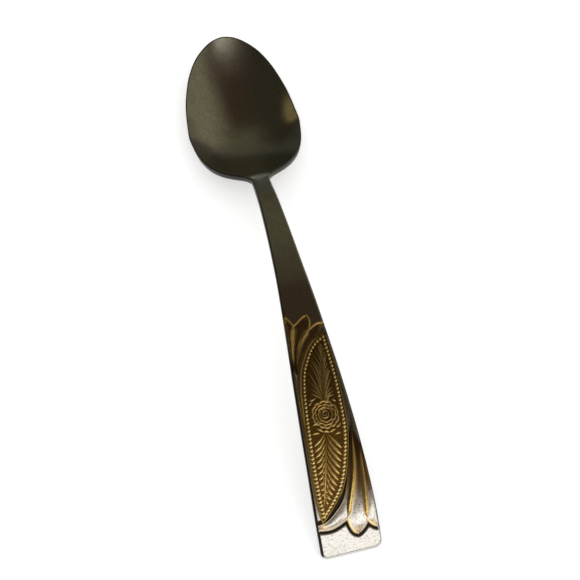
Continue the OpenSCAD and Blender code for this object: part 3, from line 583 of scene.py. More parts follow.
class Relief:
    """The relief's lines in the plan, at the present sizes."""

    def __init__(self, blank, o):
        self.blank, self.o = blank, o
        places = self.plan(MEDALLION)
        arc_n = 200
        self.left = through(places[:MEDALLION_TIP + 1], arc_n)
        self.right = through(np.concatenate([places[MEDALLION_TIP:], places[:1]]), arc_n)
        self.rim = np.concatenate([self.left[:-1], self.right[:-1]])
        self.rose = np.array([-0.12, 0.575 * o.ornament_l])
        self.band_in = o.bead_d / 2 + o.band_gap
        y = self.rim[:, 1] / o.ornament_l
        left = np.arange(len(y)) < len(self.left)
        upper = ramp(y, 0.5, 0.7) * (1 - ramp(y, 0.87, MEDALLION[MEDALLION_TIP][0]))
        self.band_w = o.band_w * (0.5 + 0.5 * np.where(left, upper, -0.15))[:, None]

    def plan(self, shares):
        """Plan places from shares of the ornament's length and of the local half width."""
        q = np.asarray(shares, float)
        y = q[:, 0] * self.o.ornament_l
        return np.stack([q[:, 1] * self.blank.handle_w(y), y], -1)

    def placed(self, points):
        """Plan places from millimetres on an ornament of the drawn size."""
        scale = [self.blank.s.end_w / DRAWN_W, self.o.ornament_l / DRAWN_L]
        return np.asarray(points, float) * scale

    def band_foot(self):
        """The band's outer foot beside the upper petals, from low on the left to the tip."""
        foot = self.moved_rim(self.band_in + self.band_w * 0.85)[:len(self.left)]
        foot = foot[foot[:, 1] > 0.71 * self.o.ornament_l][:-6:8]
        return np.concatenate([foot, self.placed([BAND_FOOT_TIP])])

    def moved_rim(self, d):
        """The medallion's outline, through the beads, moved outwards by d with mitred tips."""
        p = self.rim
        u = np.roll(p, -1, axis=0) - p
        u /= np.linalg.norm(u, axis=1)[:, None]
        before = np.roll(u, 1, axis=0)
        k = u + before
        k /= np.linalg.norm(k, axis=1)[:, None]
        mitre = np.maximum(np.sum(k * before, axis=1), 0.6)[:, None]
        return p + d * np.stack([-k[:, 1], k[:, 0]], -1) / mitre

    def ridge_lines(self, name, n=120):
        """The two ridge lines of a petal from tail to tip, how high each stands, and where along
        it, as a share, the part that it shares with its neighbour ends."""
        out = []
        for shared, own, high in PETALS[name]:
            line = through(self.placed(shared + own) if shared else self.band_foot(), n)
            split = 0.0
            if own:
                split = run_along(through(self.placed(shared), n))[-1] / run_along(line)[-1]
            out.append((line, high, split))
        return out

    def room(self, start, degrees):
        """How far a ray from each start runs before it meets the beads: the first of many even
        steps that lies outside the line just inside them."""
        edge = self.moved_rim(-self.o.bead_d / 2 - 0.12)[::4]
        a = np.radians(degrees)[:, None]
        longest, steps_n = 12, 241
        step = np.linspace(0, longest, steps_n)
        x = start[:, :1] + step * np.sin(a)
        y = start[:, 1:] + step * np.cos(a)
        return np.maximum(step[np.argmin(inside(x, y, edge), axis=1)], 0.5)

    def petals_near(self, x, y):
        """Distance to the petals. Where two petals come close, their distances blend to
        −s ln Σ exp(−d / s) and the groove between them widens; inside one it is below 0."""
        soft, inner = 0.16, -0.2
        total = np.zeros(x.shape)
        for name in PETALS:
            (left, _, _), (right, _, _) = self.ridge_lines(name, 40)
            line = np.concatenate([left, right[::-1]])
            d = distance_to(x, y, np.concatenate([line, line[:1]]))
            total += np.exp(-np.where(inside(x, y, line), inner, d) / soft)
        return -soft * np.log(np.maximum(total, 1e-12))

    def sunk(self, x, y):
        """Depth of the panel's face round and under the relief. Round the lower petals' tips, and
        right of the medallion's lower half, it is a groove that falls off smoothly with the
        distance from the outline. The other petals and the medallion lie in shallower beds. Near
        the handle's edges every groove is half as deep."""
        o = self.o
        near = np.zeros(x.shape)
        zone = (y > 1.5) & (y < 1.08 * o.ornament_l)
        px, py = x[zone], y[zone]
        along = py / o.ornament_l
        d = self.petals_near(px, py) - 0.8 * o.ridge_w
        slim = 0.45
        wide = slim + (o.groove_w - slim) * (1 - ramp(along, 0.3, 0.55))
        groove = (1 - ramp(d, 0.45 * wide, 1.1 * wide)) * (1 - ramp(along, 0.22, 0.38))
        petal_bed = 0.3 * ramp(-d, 0.05, 0.35)
        edge = self.moved_rim(self.band_in + self.band_w)
        n = len(self.left)
        left = distance_to(px, py, edge[:n:4])
        right = distance_to(px, py, np.concatenate([edge[n::4], edge[:1]]))
        medallion_bed = 0.7 * ramp(np.minimum(left, right), 0, 0.3)
        gully = 1 - ramp(right, o.gully_w * 0.75, o.gully_w * 1.15)
        gully = gully * (1 - ramp(along, 0.4, 0.6))
        within = inside(px, py, edge[::4])
        near[zone] = np.maximum(np.maximum(groove, petal_bed),
                                np.where(within, medallion_bed, gully))
        shore = ramp(self.blank.handle_w(y) - np.abs(x), 0.45, 0.75)
        return -o.groove_d * near * (0.5 + 0.5 * shore)


def relief_lines():
    """The relief at its present sizes."""
    return Relief(spoon(), bpy.context.scene.spoon_ornament)


# What sets the upper petals apart from the lower ones: reach of a crest that two petals share, how
# high ridges stand, how much a petal's own outline loses of it, where along a petal the full
# height is reached, height of the tip's pillow, what the tip loses, how much thinner the gilding
# on own outlines is, and how gilt the tip is
UPPER = SimpleNamespace(broad=1.15, stands=1.0, drop=0.0, risen=0.5, pillow=0.0, low_tip=0.0,
                        thin=0.0, gilt_tip=0.6)
LOWER = SimpleNamespace(broad=1.4, stands=0.8, drop=0.72, risen=0.8, pillow=0.42, low_tip=0.5,
                        thin=0.35, gilt_tip=0.48)

# Skirt outside a petal's crest: how far out, as shares of its reach, and how high, as shares of
# the crest's own height or, below the face, of the full ridge; and how much gilding it keeps
SKIRT_AT = np.array([0.45, 0.8, 1.0])
SKIRT_H = np.array([0.78, 0.3, -0.72])
SKIRT_GILD = np.array([0.75, 0.3, 0.0])
TIP_SKIRT_AT = (0.5, 0.85, 1.0)


def petal_piece(name):
    """One petal: a surface between its two ridge lines. Across it, the height is the hollow's
    plus a bell curve, exp(−1.6 d² / w²), of the distance d to the nearer crest, broad where two
    petals share the crest and half the ridge's width on a petal's own outline. Outside a free
    crest a skirt rolls down into the groove, and on a shared crest the face ends and drops
    straight."""
    r = relief_lines()
    o = r.o
    upper = name.startswith("upper")
    kind = UPPER if upper else LOWER
    rows, cols, reach = 150, 27, o.ridge_w
    (a, high_a, end_a), (b, high_b, end_b) = r.ridge_lines(name, rows)
    u = np.linspace(0, 1, rows + 1)[:, None]
    v = ((1 - np.cos(np.pi * np.linspace(0, 1, cols))) / 2)[None, :]
    width = np.linalg.norm(b - a, axis=1)[:, None]
    across = (b - a) / np.maximum(width, 1e-6)
    x = a[:, None, 0] * (1 - v) + b[:, None, 0] * v
    y = a[:, None, 1] * (1 - v) + b[:, None, 1] * v

    def bump(d, wide, limit=0.36):
        return np.exp(-(d / np.minimum(wide, limit * np.maximum(width, 0.5))) ** 2 * 1.6)

    own_a = ramp(u, end_a - 0.06, end_a + 0.02) if end_a else 0 * u
    own_b = ramp(u, end_b - 0.06, end_b + 0.02) if end_b else 0 * u
    crest_a = high_a * bump(v * width, reach * (kind.broad + (0.5 - kind.broad) * own_a))
    crest_b = high_b * bump((1 - v) * width, reach * (kind.broad + (0.5 - kind.broad) * own_b))
    slope_a = high_a * ramp(1 - 2 * v, 0, 1) * (1 - own_a)
    slope_b = high_b * ramp(2 * v - 1, 0, 1) * (1 - own_b)
    top = np.maximum(crest_a * (1 - kind.drop * own_a), crest_b * (1 - kind.drop * own_b))
    body = 0.62 * top + 0.38 * np.maximum(slope_a, slope_b)
    pillow = kind.pillow * ramp(u, 0.6, 0.8) * np.sin(np.pi * v) * (1 - ramp(u, 0.86, 1))
    h = o.hollow_h + (o.ridge_h - o.hollow_h) * np.maximum(body * kind.stands, pillow)
    h = h * (0.06 + 0.94 * ramp(u, 0.0, kind.risen)) * (1 - kind.low_tip * ramp(u, 0.88, 1.0))
    gild_a = high_a * bump(v * width, reach * (2.2 - 1.3 * own_a), 0.42)
    gild_b = high_b * bump((1 - v) * width, reach * (2.2 - 1.3 * own_b), 0.42)
    gild = np.maximum(gild_a * (1 - kind.thin * own_a), gild_b * (1 - 1.5 * kind.thin * own_b))
    gild = np.maximum(gild * ramp(u, 0.0, 0.25), kind.gilt_tip * ramp(u, 0.82, 0.97)) + 0 * y
    # How much umber each place takes: 0.8 over the upper petals; on the lower ones it grows from
    # 6.5 to 15 mm, a painted shade that leaves their tips bright like the painted light at the
    # handle's end
    umber_share = (0.8 if upper else ramp(y, 6.5, 15.0) * (0.75 + 0.25 * v)) + 0 * y
    free_a = ramp(u, end_a, end_a + 0.03) if end_a else np.ones_like(u)
    free_b = ramp(u, end_b, end_b + 0.03) if end_b else np.ones_like(u)

    def skirt(line, guess, free, edge_h, high):
        out = outward_of(line, guess)
        far = reach * 0.95 * free * SKIRT_AT * (0.4 + 0.6 * high)
        return (line[:, None, 0] + out[:, None, 0] * far, line[:, None, 1] + out[:, None, 1] * far,
                np.where(SKIRT_H > 0, edge_h * SKIRT_H, o.ridge_h * SKIRT_H))

    before = skirt(a, -across, free_a, h[:, :1], high_a)
    after = skirt(b, across, free_b, h[:, -1:], high_b)
    x, y, h = (np.concatenate([p[:, ::-1], q, s], 1) for p, q, s in zip(before, (x, y, h), after))
    gild = np.concatenate([gild[:, :1] * SKIRT_GILD[::-1], gild, gild[:, -1:] * SKIRT_GILD], 1)
    umber_share = np.concatenate([umber_share[:, :1].repeat(3, 1), umber_share, umber_share[:, -1:].repeat(3, 1)], 1)
    heading = np.gradient((a + b) / 2, axis=0)[-1]
    heading /= np.linalg.norm(heading)
    far = reach * np.array(TIP_SKIRT_AT)[:, None] * 0.8
    low = SKIRT_H[:, None]
    last = np.where(h[-1:] > 0, h[-1:] * low, h[-1:])
    last[-1] = SKIRT_H[-1] * o.ridge_h
    x = np.concatenate([x, x[-1:] + heading[0] * far])
    y = np.concatenate([y, y[-1:] + heading[1] * far])
    h = np.concatenate([h, last])
    gild = np.concatenate([gild, gild[-1:] * np.maximum(low, 0)])
    umber_share = np.concatenate([umber_share, umber_share[-1:].repeat(3, 0)])
    points = r.blank.on_top(x, y, h)
    points[..., 2] = np.minimum(points[..., 2], r.blank.s.crest_h - 0.01)
    fields = {"gild": gild, "high": np.clip(h / o.ridge_h, 0, 1), "umber_share": umber_share}
    return place_mesh(name, points, fields, caps=end_caps(*x.shape), merge=True)


def outward_of(line, guess):
    """Unit normals of a line in the plan, on the side of the guess."""
    run = np.gradient(line, axis=0)
    run /= np.maximum(np.linalg.norm(run, axis=1)[:, None], 1e-9)
    normal = np.stack([-run[:, 1], run[:, 0]], -1)
    side = np.sign(np.sum(normal * guess, axis=1))
    return normal * np.where(side == 0, 1, side)[:, None]


def band_piece():
    """The plain band: a rounded section carried round the medallion, from a foot beside the
    beads over a crest to a foot in the groove outside. Where it narrows it also stands lower."""
    r = relief_lines()
    at = np.array([0.0, 0.03, 0.12, 0.25, 0.42, 0.6, 0.76, 0.9, 1.0, 1.06, 1.06, 0.0])
    high = np.array([0.0, 0.5, 0.78, 0.94, 1.0, 0.96, 0.84, 0.6, 0.2, -0.5, -0.7, -0.7])
    rims = np.stack([r.moved_rim(r.band_in + r.band_w * k) for k in at], 1)
    keen = ramp(r.band_w / r.o.band_w, 0.5, 0.95)
    points = r.blank.on_top(rims[..., 0], rims[..., 1],
                            r.o.band_h * high * (0.6 + 0.4 * keen))
    rows, m = points.shape[:2]
    faces = grid_faces(rows + 1, m, wrap=True) % (rows * m)
    fields = {"high": np.clip(high, 0, 1) * (0.3 + 0.7 * keen)}
    return place_mesh("medallion_band", points, fields, faces)


def ground_piece():
    """The medallion's ground: rows from the left arc to the right one, lightly crowned, with a
    flat underside sunk in the panel. Both ends close to a point. Its face is grained by the
    product of two sines, each bent by a third."""
    r = relief_lines()
    o = r.o
    edge = r.moved_rim(r.band_in + 0.1)
    n = len(r.left) - 1
    left = edge[:n + 1]
    right = np.concatenate([edge[:1], edge[n:][::-1]])
    top_n, under_n = 73, 5
    share = np.concatenate([np.linspace(0, 1, top_n), np.linspace(1, 0, under_n)])[None, :, None]
    plan = left[:, None] * (1 - share) + right[:, None] * share
    x, y = plan[..., 0], plan[..., 1]
    wave_x = np.sin(9.1 * x + 2.2 * np.sin(3.7 * y))
    wave_y = np.sin(8.3 * y + 1.9 * np.sin(4.9 * x))
    grain = 0.5 + 0.5 * wave_x * wave_y
    h = o.ground_t * (0.72 + 0.28 * grain)
    h[:, top_n:] = -o.groove_d * 0.6
    points = r.blank.on_top(x, y, h)
    return place_mesh("medallion_ground", points, {"high": 0.25 * grain}, merge=True)


def beads_piece():
    """The border's beads: domes set at even distances along both arcs, a little larger towards
    the handle's end. A dome is rings of radius ½ d sin t at height h cos t, turned square to
    the handle's face."""
    r = relief_lines()
    o, blank = r.o, r.blank
    places = []
    for arc in (r.left, r.right):
        run = run_along(np.column_stack([arc, blank.at(blank.mid, arc[:, 1])]))
        n = int(round(run[-1] / o.bead_pitch))
        even = np.linspace(0, run[-1], n + 1)[:-1]
        places.append(np.stack([np.interp(even, run, arc[:, k]) for k in (0, 1)], -1))
    cx, cy = np.concatenate(places).T[..., None, None]
    sides, foot_h, more = 14, -0.15, 0.14
    around = np.radians(np.arange(0, 360, 360 / sides))
    t = np.radians([90, 90, 72, 54, 36, 18, 0])
    out = 0.5 * o.bead_d * np.sin(t)[:, None]
    up = o.bead_h * np.cos(t)
    up[0] = foot_h
    big = 1 + more - more * ramp(cy, 0.3 * o.ornament_l, 0.6 * o.ornament_l)
    dx, dy = big ** 2 * (out * np.cos(around)), big ** 0.5 * (out * np.sin(around))
    high = o.ground_t + (up[:, None] + 0 * dx) * big
    tilt = blank.at(blank.tilt, cy)
    k = np.sqrt(1 + tilt ** 2)
    points = np.stack([cx + dx, cy + (dy - high * tilt) / k,
                       blank.at(blank.mid, cy) + (dy * tilt + high) / k], -1)
    fields = {"high": np.clip(up / o.bead_h, 0, 1)[:, None] ** 0.5}
    undersides = end_caps(len(t), len(around), len(points))[::2]
    return place_mesh("bead_border", points, fields, caps=undersides, merge=True)


def leaves_piece(name, start, end, bow, wide, tall, base, blunt):
    """A bunch of leaves on the medallion. Along a leaf, its middle line bows sideways by
    4 b t (1 − t) and its width is sin(π t^k) to the power 0.8, with k for how blunt its end is.
    Across it, the height is a rounded roof. Both ends close to a point."""
    bow, wide, tall, base = (np.broadcast_to(k, len(start))[:, None, None]
                             for k in (bow, wide, tall, base))
    run = end - start
    side = np.stack([-run[:, 1], run[:, 0]], -1) / np.linalg.norm(run, axis=1)[:, None]
    t = np.linspace(0, 1, 11)[:, None]
    fat = np.sin(np.pi * t ** blunt) ** 0.8
    fat[0] = fat[-1] = 0
    spots = np.array([-1.0, -0.72, -0.36, 0.0, 0.36, 0.72, 1.0, 0.0])
    roof = np.array([0.0, 0.55, 0.86, 1.0, 0.86, 0.55, 0.0, 0.0])
    middle = start[:, None] + run[:, None] * t + side[:, None] * (bow * 4 * t * (1 - t))
    off = 0.5 * wide * fat * spots
    plan = middle[:, :, None] + side[:, None, None] * off[..., None]
    lift = fat ** 0.6 * roof
    h = base + tall * lift - 0.06 * (roof <= 0)
    points = relief_lines().blank.on_top(plan[..., 0], plan[..., 1], h)
    return place_mesh(name, points, {"high": lift ** 0.7}, merge=True)


def headed(degrees):
    """Unit plan steps turned clockwise from the spoon's length: sin a across and cos a along."""
    a = np.radians(degrees)
    return np.stack([np.sin(a), np.cos(a)], -1)


def grown(r, root, tip, shares, left, right, spread, stray=0.0):
    """Pairs of leaves along a stem, which lean from it to both sides and reach to the beads.
    Gives their starts, ends, sides, -1 on the left of the stem's own heading, and shares of the
    stem. Left and right are tables of the turn by that share. The turns stray from them by a
    sine of the leaf's number, in degrees."""
    lean = math.degrees(math.atan2(*(tip - root)))
    t = np.repeat(shares, 2)
    hand = np.tile([-1.0, 1.0], len(shares))
    turn = lean + np.where(hand < 0, -np.interp(t, *left), np.interp(t, *right))
    turn = turn + stray * np.sin(3.7 * np.arange(len(t)))
    start = root + (tip - root) * t[:, None] + headed(lean + 90 * hand) * spread
    return start, start + r.room(start, turn)[:, None] * headed(turn), hand, t


def upper_spray_piece():
    """The upper spray: a stem towards the medallion's tip, long wavy fronds in pairs along it
    that reach the beads, and a fan at its root. Short fronds fill between the long ones. Every
    frond's turn, bow and width strays a little, by sines of its number."""
    r = relief_lines()
    o = r.o
    root = r.rose + o.rose_r * np.array([0.13, 0.98])
    tip = root + (r.left[-1] - root) * 0.93
    lean = math.degrees(math.atan2(*(tip - root)))
    pitch, stem_w, short = 0.085, 0.16, 0.5
    s1, e1, h1, t1 = grown(r, root, tip, np.arange(0, 0.9, pitch), ([0, 1], [28, 17]),
                           ([0, 1], [19, 13]), stem_w, 5.0)
    s2, e2, _, t2 = grown(r, root, tip, np.arange(0.04, 0.8, pitch), ([0, 1], [18, 12]),
                          ([0, 1], [12, 9]), stem_w, 4.0)
    e2 = s2 + (e2 - s2) * short
    fan = np.array([-66.0, -50, -38, 31, 44, 58])
    s3 = root + headed(lean + fan) * 0.35
    e3 = s3 + 0.8 * r.room(s3, lean + fan)[:, None] * headed(lean + fan)
    stray1, stray2 = np.sin(2.9 * np.arange(len(t1))), np.sin(4.3 * np.arange(len(t2)))
    start = np.concatenate([s1, s2, s3, [root]])
    end = np.concatenate([e1, e2, e3, [tip]])
    bow = np.concatenate([0.2 * h1 + 0.16 * stray1, 0.14 * stray2, 0.25 * np.sign(fan), [0.1]])
    wide = np.concatenate([0.56 - 0.12 * t1 + 0.1 * stray1, 0.36 + 0.06 * stray2, 0.42 + 0 * fan,
                           [0.45]])
    tall = o.leaf_h * np.concatenate([0.95 + 0.12 * stray1, 0.8 + 0.15 * stray2, 0.6 + 0 * fan,
                                      [1.1]])
    return leaves_piece("upper_spray", start, end, bow, wide, tall, o.ground_t * 0.8, blunt=1.1)


def lower_spray_piece():
    """The lower spray: a stem from the rose to the medallion's lower tip and leaflets in pairs
    that point down and outwards and reach the beads. Shorter ones fill between them."""
    r = relief_lines()
    o = r.o
    root = r.rose + o.rose_r * np.array([-0.2, -1.27])
    tip = root + (r.left[0] - root) * 0.9
    pitch, short = 0.088, 0.4
    shares = np.arange(0, 0.95, pitch)
    start, end, hand, t = grown(r, root, tip, shares, ([0, 0.5, 1], [48, 44, 36]),
                                ([0, 0.5, 1], [40, 36, 30]), 0.16)
    s2, e2, h2, t2 = grown(r, root, tip, shares[:-1] + pitch / 2, ([0, 1], [34, 26]),
                           ([0, 1], [26, 20]), 0.1)
    e2 = s2 + (e2 - s2) * short
    bow = np.concatenate([0.16 * hand, 0.06 * h2, [0.0]])
    wide = o.leaflet_w * np.concatenate([1.0 - 0.25 * t, 0.5 + 0 * t2, [0.62]])
    tall = o.leaf_h * np.concatenate([1.3 + 0 * t, 0.9 + 0 * t2, [1.0]])
    start, end = np.concatenate([start, s2, [root]]), np.concatenate([end, e2, [tip]])
    return leaves_piece("lower_spray", start, end, bow, wide, tall, o.ground_t * 0.8, blunt=1.5)


def collar_piece():
    """The small leaves round the rose, four above and seven below: for each its start and end
    from the rose's centre and how far it bows."""
    r = relief_lines()
    spots = np.array([
        (-3.1, 3.55, -1.0, 4.0, -0.2), (2.0, 2.9, 3.0, 2.2, 0.18), (-3.35, 2.6, -2.2, 3.3, -0.1),
        (0.9, 2.7, 1.7, 3.2, 0.1), (-3.9, -3.55, -2.0, -3.75, 0.15),
        (-2.75, -2.5, -1.2, -3.65, 0.16), (-1.5, -3.5, 0.2, -3.95, 0.22),
        (0.1, -3.95, 1.7, -3.55, 0.2), (1.2, -4.5, 2.6, -4.45, 0.1),
        (1.6, -3.1, 3.1, -2.3, -0.18), (-3.3, -1.9, -1.6, -1.35, 0.16)])
    return leaves_piece("collar_leaves", r.rose + spots[:, :2], r.rose + spots[:, 2:4],
                        spots[:, 4], 0.62, r.o.leaf_h * 1.25, r.o.ground_t, blunt=0.9)


def rose_petals_piece():
    """The rose's open petals, in three rounds that overlap. A petal is a surface over its turn s
    and reach k: the radius bulges with s, the cup rises by k² and its rim rolls up in a bell
    curve of k. The last column drops to the underside."""
    r = relief_lines()
    o = r.o
    # For each round: petals, first turn in degrees, inner and outer radius, height and lift
    rounds = (
        (4, 25.0, o.heart_r * 0.6, o.rose_r * 0.6, 1.0, 0.14),
        (5, -8.0, o.heart_r * 0.9, o.rose_r * 0.83, 0.85, 0.06),
        (6, -16.0, o.heart_r * 1.2, o.rose_r * 1.08, 0.7, 0.0))
    s = np.linspace(0, 1, 17)[None, :, None]
    k = np.linspace(0, 1, 9)[None, None, :]
    rim = np.exp(-((k - 0.86) / 0.14) ** 2)
    cup = (0.18 + 0.3 * k ** 2 + 0.62 * rim) * (0.8 + 0.2 * s) * (1 - 0.9 * (k > 0.999))
    bulge = 1 - 0.22 * (2 * s - 1) ** 4 - 0.07 * np.exp(-((s - 0.55) / 0.12) ** 2)
    petals = []
    for count, turn, r_in, r_out, tall, lift in rounds:
        i = np.arange(count)[:, None, None]
        a = np.radians(turn + 360 / count * (i + 0.5 + 1.12 * (s - 0.5)))
        sway = 1 + 0.035 * np.sin(2.4 * i + turn)
        radius = r_in + (r_out * bulge * sway - r_in) * k
        h = o.ground_t + lift + o.rose_h * tall * cup + 0 * radius
        x, y = r.rose[0] + radius * np.sin(a), r.rose[1] + radius * np.cos(a)
        petals.append(np.stack([x, y, h], -1))
    top = np.concatenate(petals)
    low = top[:, :, [-1, 0]]
    low[..., 2] = -0.02
    x, y, h = np.moveaxis(np.concatenate([top, low], 2), -1, 0)
    points = r.blank.on_top(x, y, h)
    high = np.concatenate([np.clip(rim * 1.1 + 0.15 * k, 0, 1), np.zeros((1, 1, 2))], 2)
    caps = end_caps(*points.shape[1:3], len(points))
    return place_mesh("rose_petals", points, {"high": high}, caps=caps)


def rose_heart_piece():
    """The rose's heart: a ridge wound in a spiral, with a rounded section that swells and thins
    along the winding."""
    r = relief_lines()
    t = np.linspace(0, 1, 141)[:, None]
    a = 2 * np.pi * (2.1 * t + 0.1)
    wide = 0.34 + 0.1 * np.sin(2 * np.pi * 3.4 * t)
    spots = np.array([-1.0, -0.75, -0.4, 0.0, 0.4, 0.75, 1.0])
    roof = np.array([0.0, 0.6, 0.9, 1.0, 0.85, 0.5, 0.0])
    body = np.sin(np.pi * np.clip(t, 0.02, 0.98)) ** 0.35
    radius = 0.16 + (r.o.heart_r - 0.3) * t ** 0.9 + spots * wide / 2 * body
    h = r.o.ground_t + 0.12 + 0.3 * roof * body * (1 - 0.25 * t) - 0.2 * (roof <= 0)
    x, y = r.rose[0] + radius * np.sin(a), r.rose[1] + 0.15 + radius * np.cos(a)
    points = r.blank.on_top(x, y, h)
    return place_mesh("rose_heart", points, {"high": roof}, caps=end_caps(*x.shape))


# ---------------------------------------------------------------- finishes

VECTOR, NUMBER, COLOUR = "NodeSocketVector", "NodeSocketFloat", "NodeSocketColor"


class SPOON_PG_finish(bpy.types.PropertyGroup):
    """Colours of the metals, in linear light."""

    # Both steels are darker than clean steel: partly patina, partly painted shade that stands for
    # the dark room the steel reflects
    steel_light: tint("Steel", "Steel where it is clean", (0.30, 0.285, 0.225))
    steel_dark: tint("Steel patina", "Steel under its brown patina", (0.17, 0.15, 0.11))
    # Painted light: bright steel painted over the handle's end, standing for the soft box's
    # reflection there
    steel_lit_end: tint("Worn steel", "Steel rubbed bright by use", (0.67, 0.67, 0.65))
    # Painted shade: the side walls are painted dark, standing for the dark room that they reflect
    wall_shade_tint: tint("Side walls", "Dull blanked side of the handle", (0.03, 0.028, 0.024))
    # Partly a real dark deposit and partly painted shade: it darkens the grooves by their depth,
    # and also the pits and the feet of the petals
    soot_and_shade: tint("Grooves", "Dark deposit in the grooves", (0.045, 0.03, 0.016))
    gold: tint("Gilding", "Gilding on the crests", (0.88, 0.60, 0.18))
    gold_pale: tint("Pale gilding", "Gilding rubbed thin on the highest places", (0.95, 0.80, 0.46))
    # Partly tarnish and partly painted shade: the brown that the gilding takes in its recesses
    gold_brown_and_shade: tint("Brown gilding", "Gilding in the recesses", (0.18, 0.1, 0.02))
    # Painted shade: the brown that darkens the gilding towards the stem
    stem_shade_brown: tint("Bronze", "Brown that darkens the gilding towards the stem", (0.05, 0.026, 0.006))
    # Over the lower petals this brown is painted shade away from the handle's end
    umber: tint("Umber", "Brown film in the upper petals' hollows", (0.19, 0.11, 0.034))
    # How far from the handle's end the painted light reaches
    lit_end_l: size("Worn length", "How far from the handle's end the steel is rubbed bright", 12.0)
    grain: size("Grain", "Depth of the fine grain", 0.004)


class Wires:
    """Short hand for adding nodes to a tree and joining them."""

    def __init__(self, tree):
        self.tree = tree

    def node(self, kind, **settings):
        made = self.tree.nodes.new(kind)
        for key, value in settings.items():
            setattr(made, key, value)
        return made

    def feed(self, target, value):
        """Joins a socket to the target, or writes a plain value there, a colour without alpha."""
        if isinstance(value, bpy.types.NodeSocket):
            self.tree.links.new(value, target)
        elif target.type == "RGBA":
            target.default_value = (*value, 1)
        else:
            target.default_value = value

    def math(self, operation, a, b=0.0, clamp=False):
        made = self.node("ShaderNodeMath", operation=operation, use_clamp=clamp)
        self.feed(made.inputs[0], a)
        self.feed(made.inputs[1], b)
        return made.outputs[0]

    def plus(self, a, b, clamp=False):
        return self.math("ADD", a, b, clamp)

    def minus(self, a, b):
        return self.math("SUBTRACT", a, b)

    def times(self, a, b):
        return self.math("MULTIPLY", a, b)

    def mix(self, factor, a, b):
        made = self.node("ShaderNodeMix", data_type="RGBA")
        for key, value in (("Factor", factor), ("A", a), ("B", b)):
            self.feed(made.inputs[key], value)
        return made.outputs["Result"]

    def step(self, value, low, high, out_low=0.0, out_high=1.0):
        """Smooth step of a value from low to high."""
        made = self.node("ShaderNodeMapRange", interpolation_type="SMOOTHSTEP")
        for key, given in (("Value", value), ("From Min", low), ("From Max", high),
                           ("To Min", out_low), ("To Max", out_high)):
            self.feed(made.inputs[key], given)
        return made.outputs["Result"]

    def noise(self, vector, scale, detail=3.0, rough=0.5, twist=0.0):
        made = self.node("ShaderNodeTexNoise")
        for key, value in (("Vector", vector), ("Scale", scale), ("Detail", detail),
                           ("Roughness", rough), ("Distortion", twist)):
            self.feed(made.inputs[key], value)
        return made.outputs["Fac"]

    def ragged(self, vector, scale, rough=0.6):
        """Noise about 0, which makes borders ragged."""
        return self.minus(self.noise(vector, scale, 3.0, rough), 0.5)

    def split(self, vector):
        """X, Y and Z of a vector."""
        made = self.node("ShaderNodeSeparateXYZ")
        self.feed(made.inputs[0], vector)
        return made.outputs

    def attribute(self, name):
        return self.node("ShaderNodeAttribute", attribute_name=name).outputs["Fac"]

    def group(self, tree, **values):
        """Adds a node group with its inputs fed, and gives its outputs."""
        made = self.node("ShaderNodeGroup", node_tree=tree)
        for key, value in values.items():
            self.feed(made.inputs[key], value)
        return made.outputs


def shader_group(name, inputs, outputs, build):
    """A shader node group with named sockets, made once. Build joins what goes in to what
    comes out."""
    group = bpy.data.node_groups.get(name)
    if group is None:
        group = bpy.data.node_groups.new(name, "ShaderNodeTree")
        for side, entries in (("INPUT", inputs), ("OUTPUT", outputs)):
            for key, kind in entries.items():
                group.interface.new_socket(name=key, in_out=side, socket_type=kind)
        w = Wires(group)
        build(w, w.node("NodeGroupInput").outputs, w.node("NodeGroupOutput").inputs)
    return group


def patina_group():
    """Cloudy patina: two sizes of noise, blended, give a mask from 0, clean, to 1, tarnished."""
    def build(w, given, out):
        big = w.noise(given["Vector"], given["Size"], 3.0, 0.55, 0.6)
        small = w.noise(given["Vector"], w.times(given["Size"], 7.0), 4.0, 0.6)
        cloud = w.plus(w.times(big, 0.7), w.times(small, 0.3))
        low = w.minus(0.72, w.times(given["Amount"], 0.4))
        w.feed(out["Mask"], w.step(cloud, low, w.plus(low, 0.22)))

    return shader_group("Patina", {"Vector": VECTOR, "Size": NUMBER, "Amount": NUMBER},
                        {"Mask": NUMBER}, build)


def grain_group():
    """Fine grain of rolled and used metal: stretched noise for brush marks, fine noise for the
    coined skin and thresholded cells for pits, summed as a height from 0 to 1."""
    def build(w, given, out):
        stretch = w.node("ShaderNodeMapping")
        stretch.inputs["Scale"].default_value = (1.0, 0.045, 1.0)
        w.feed(stretch.inputs["Vector"], given["Vector"])
        brush = w.noise(stretch.outputs["Vector"], 5200.0, 2.0, 0.6)
        skin = w.noise(given["Vector"], 3800.0, 2.0, 0.6)
        cells = w.node("ShaderNodeTexVoronoi")
        cells.inputs["Scale"].default_value = 1500.0
        w.feed(cells.inputs["Vector"], given["Vector"])
        chance = w.noise(given["Vector"], 420.0, 2.0, 0.5)
        pit = w.times(w.step(cells.outputs["Distance"], 0.34, 0.1), w.step(chance, 0.5, 0.62))
        pit = w.times(pit, given["Pits"])
        height = w.plus(w.times(brush, given["Brushed"]), w.times(skin, given["Skin"]))
        w.feed(out["Height"], w.minus(height, pit))
        w.feed(out["Pit mask"], pit)

    return shader_group("Fine grain",
                        {"Vector": VECTOR, "Brushed": NUMBER, "Skin": NUMBER, "Pits": NUMBER},
                        {"Height": NUMBER, "Pit mask": NUMBER}, build)


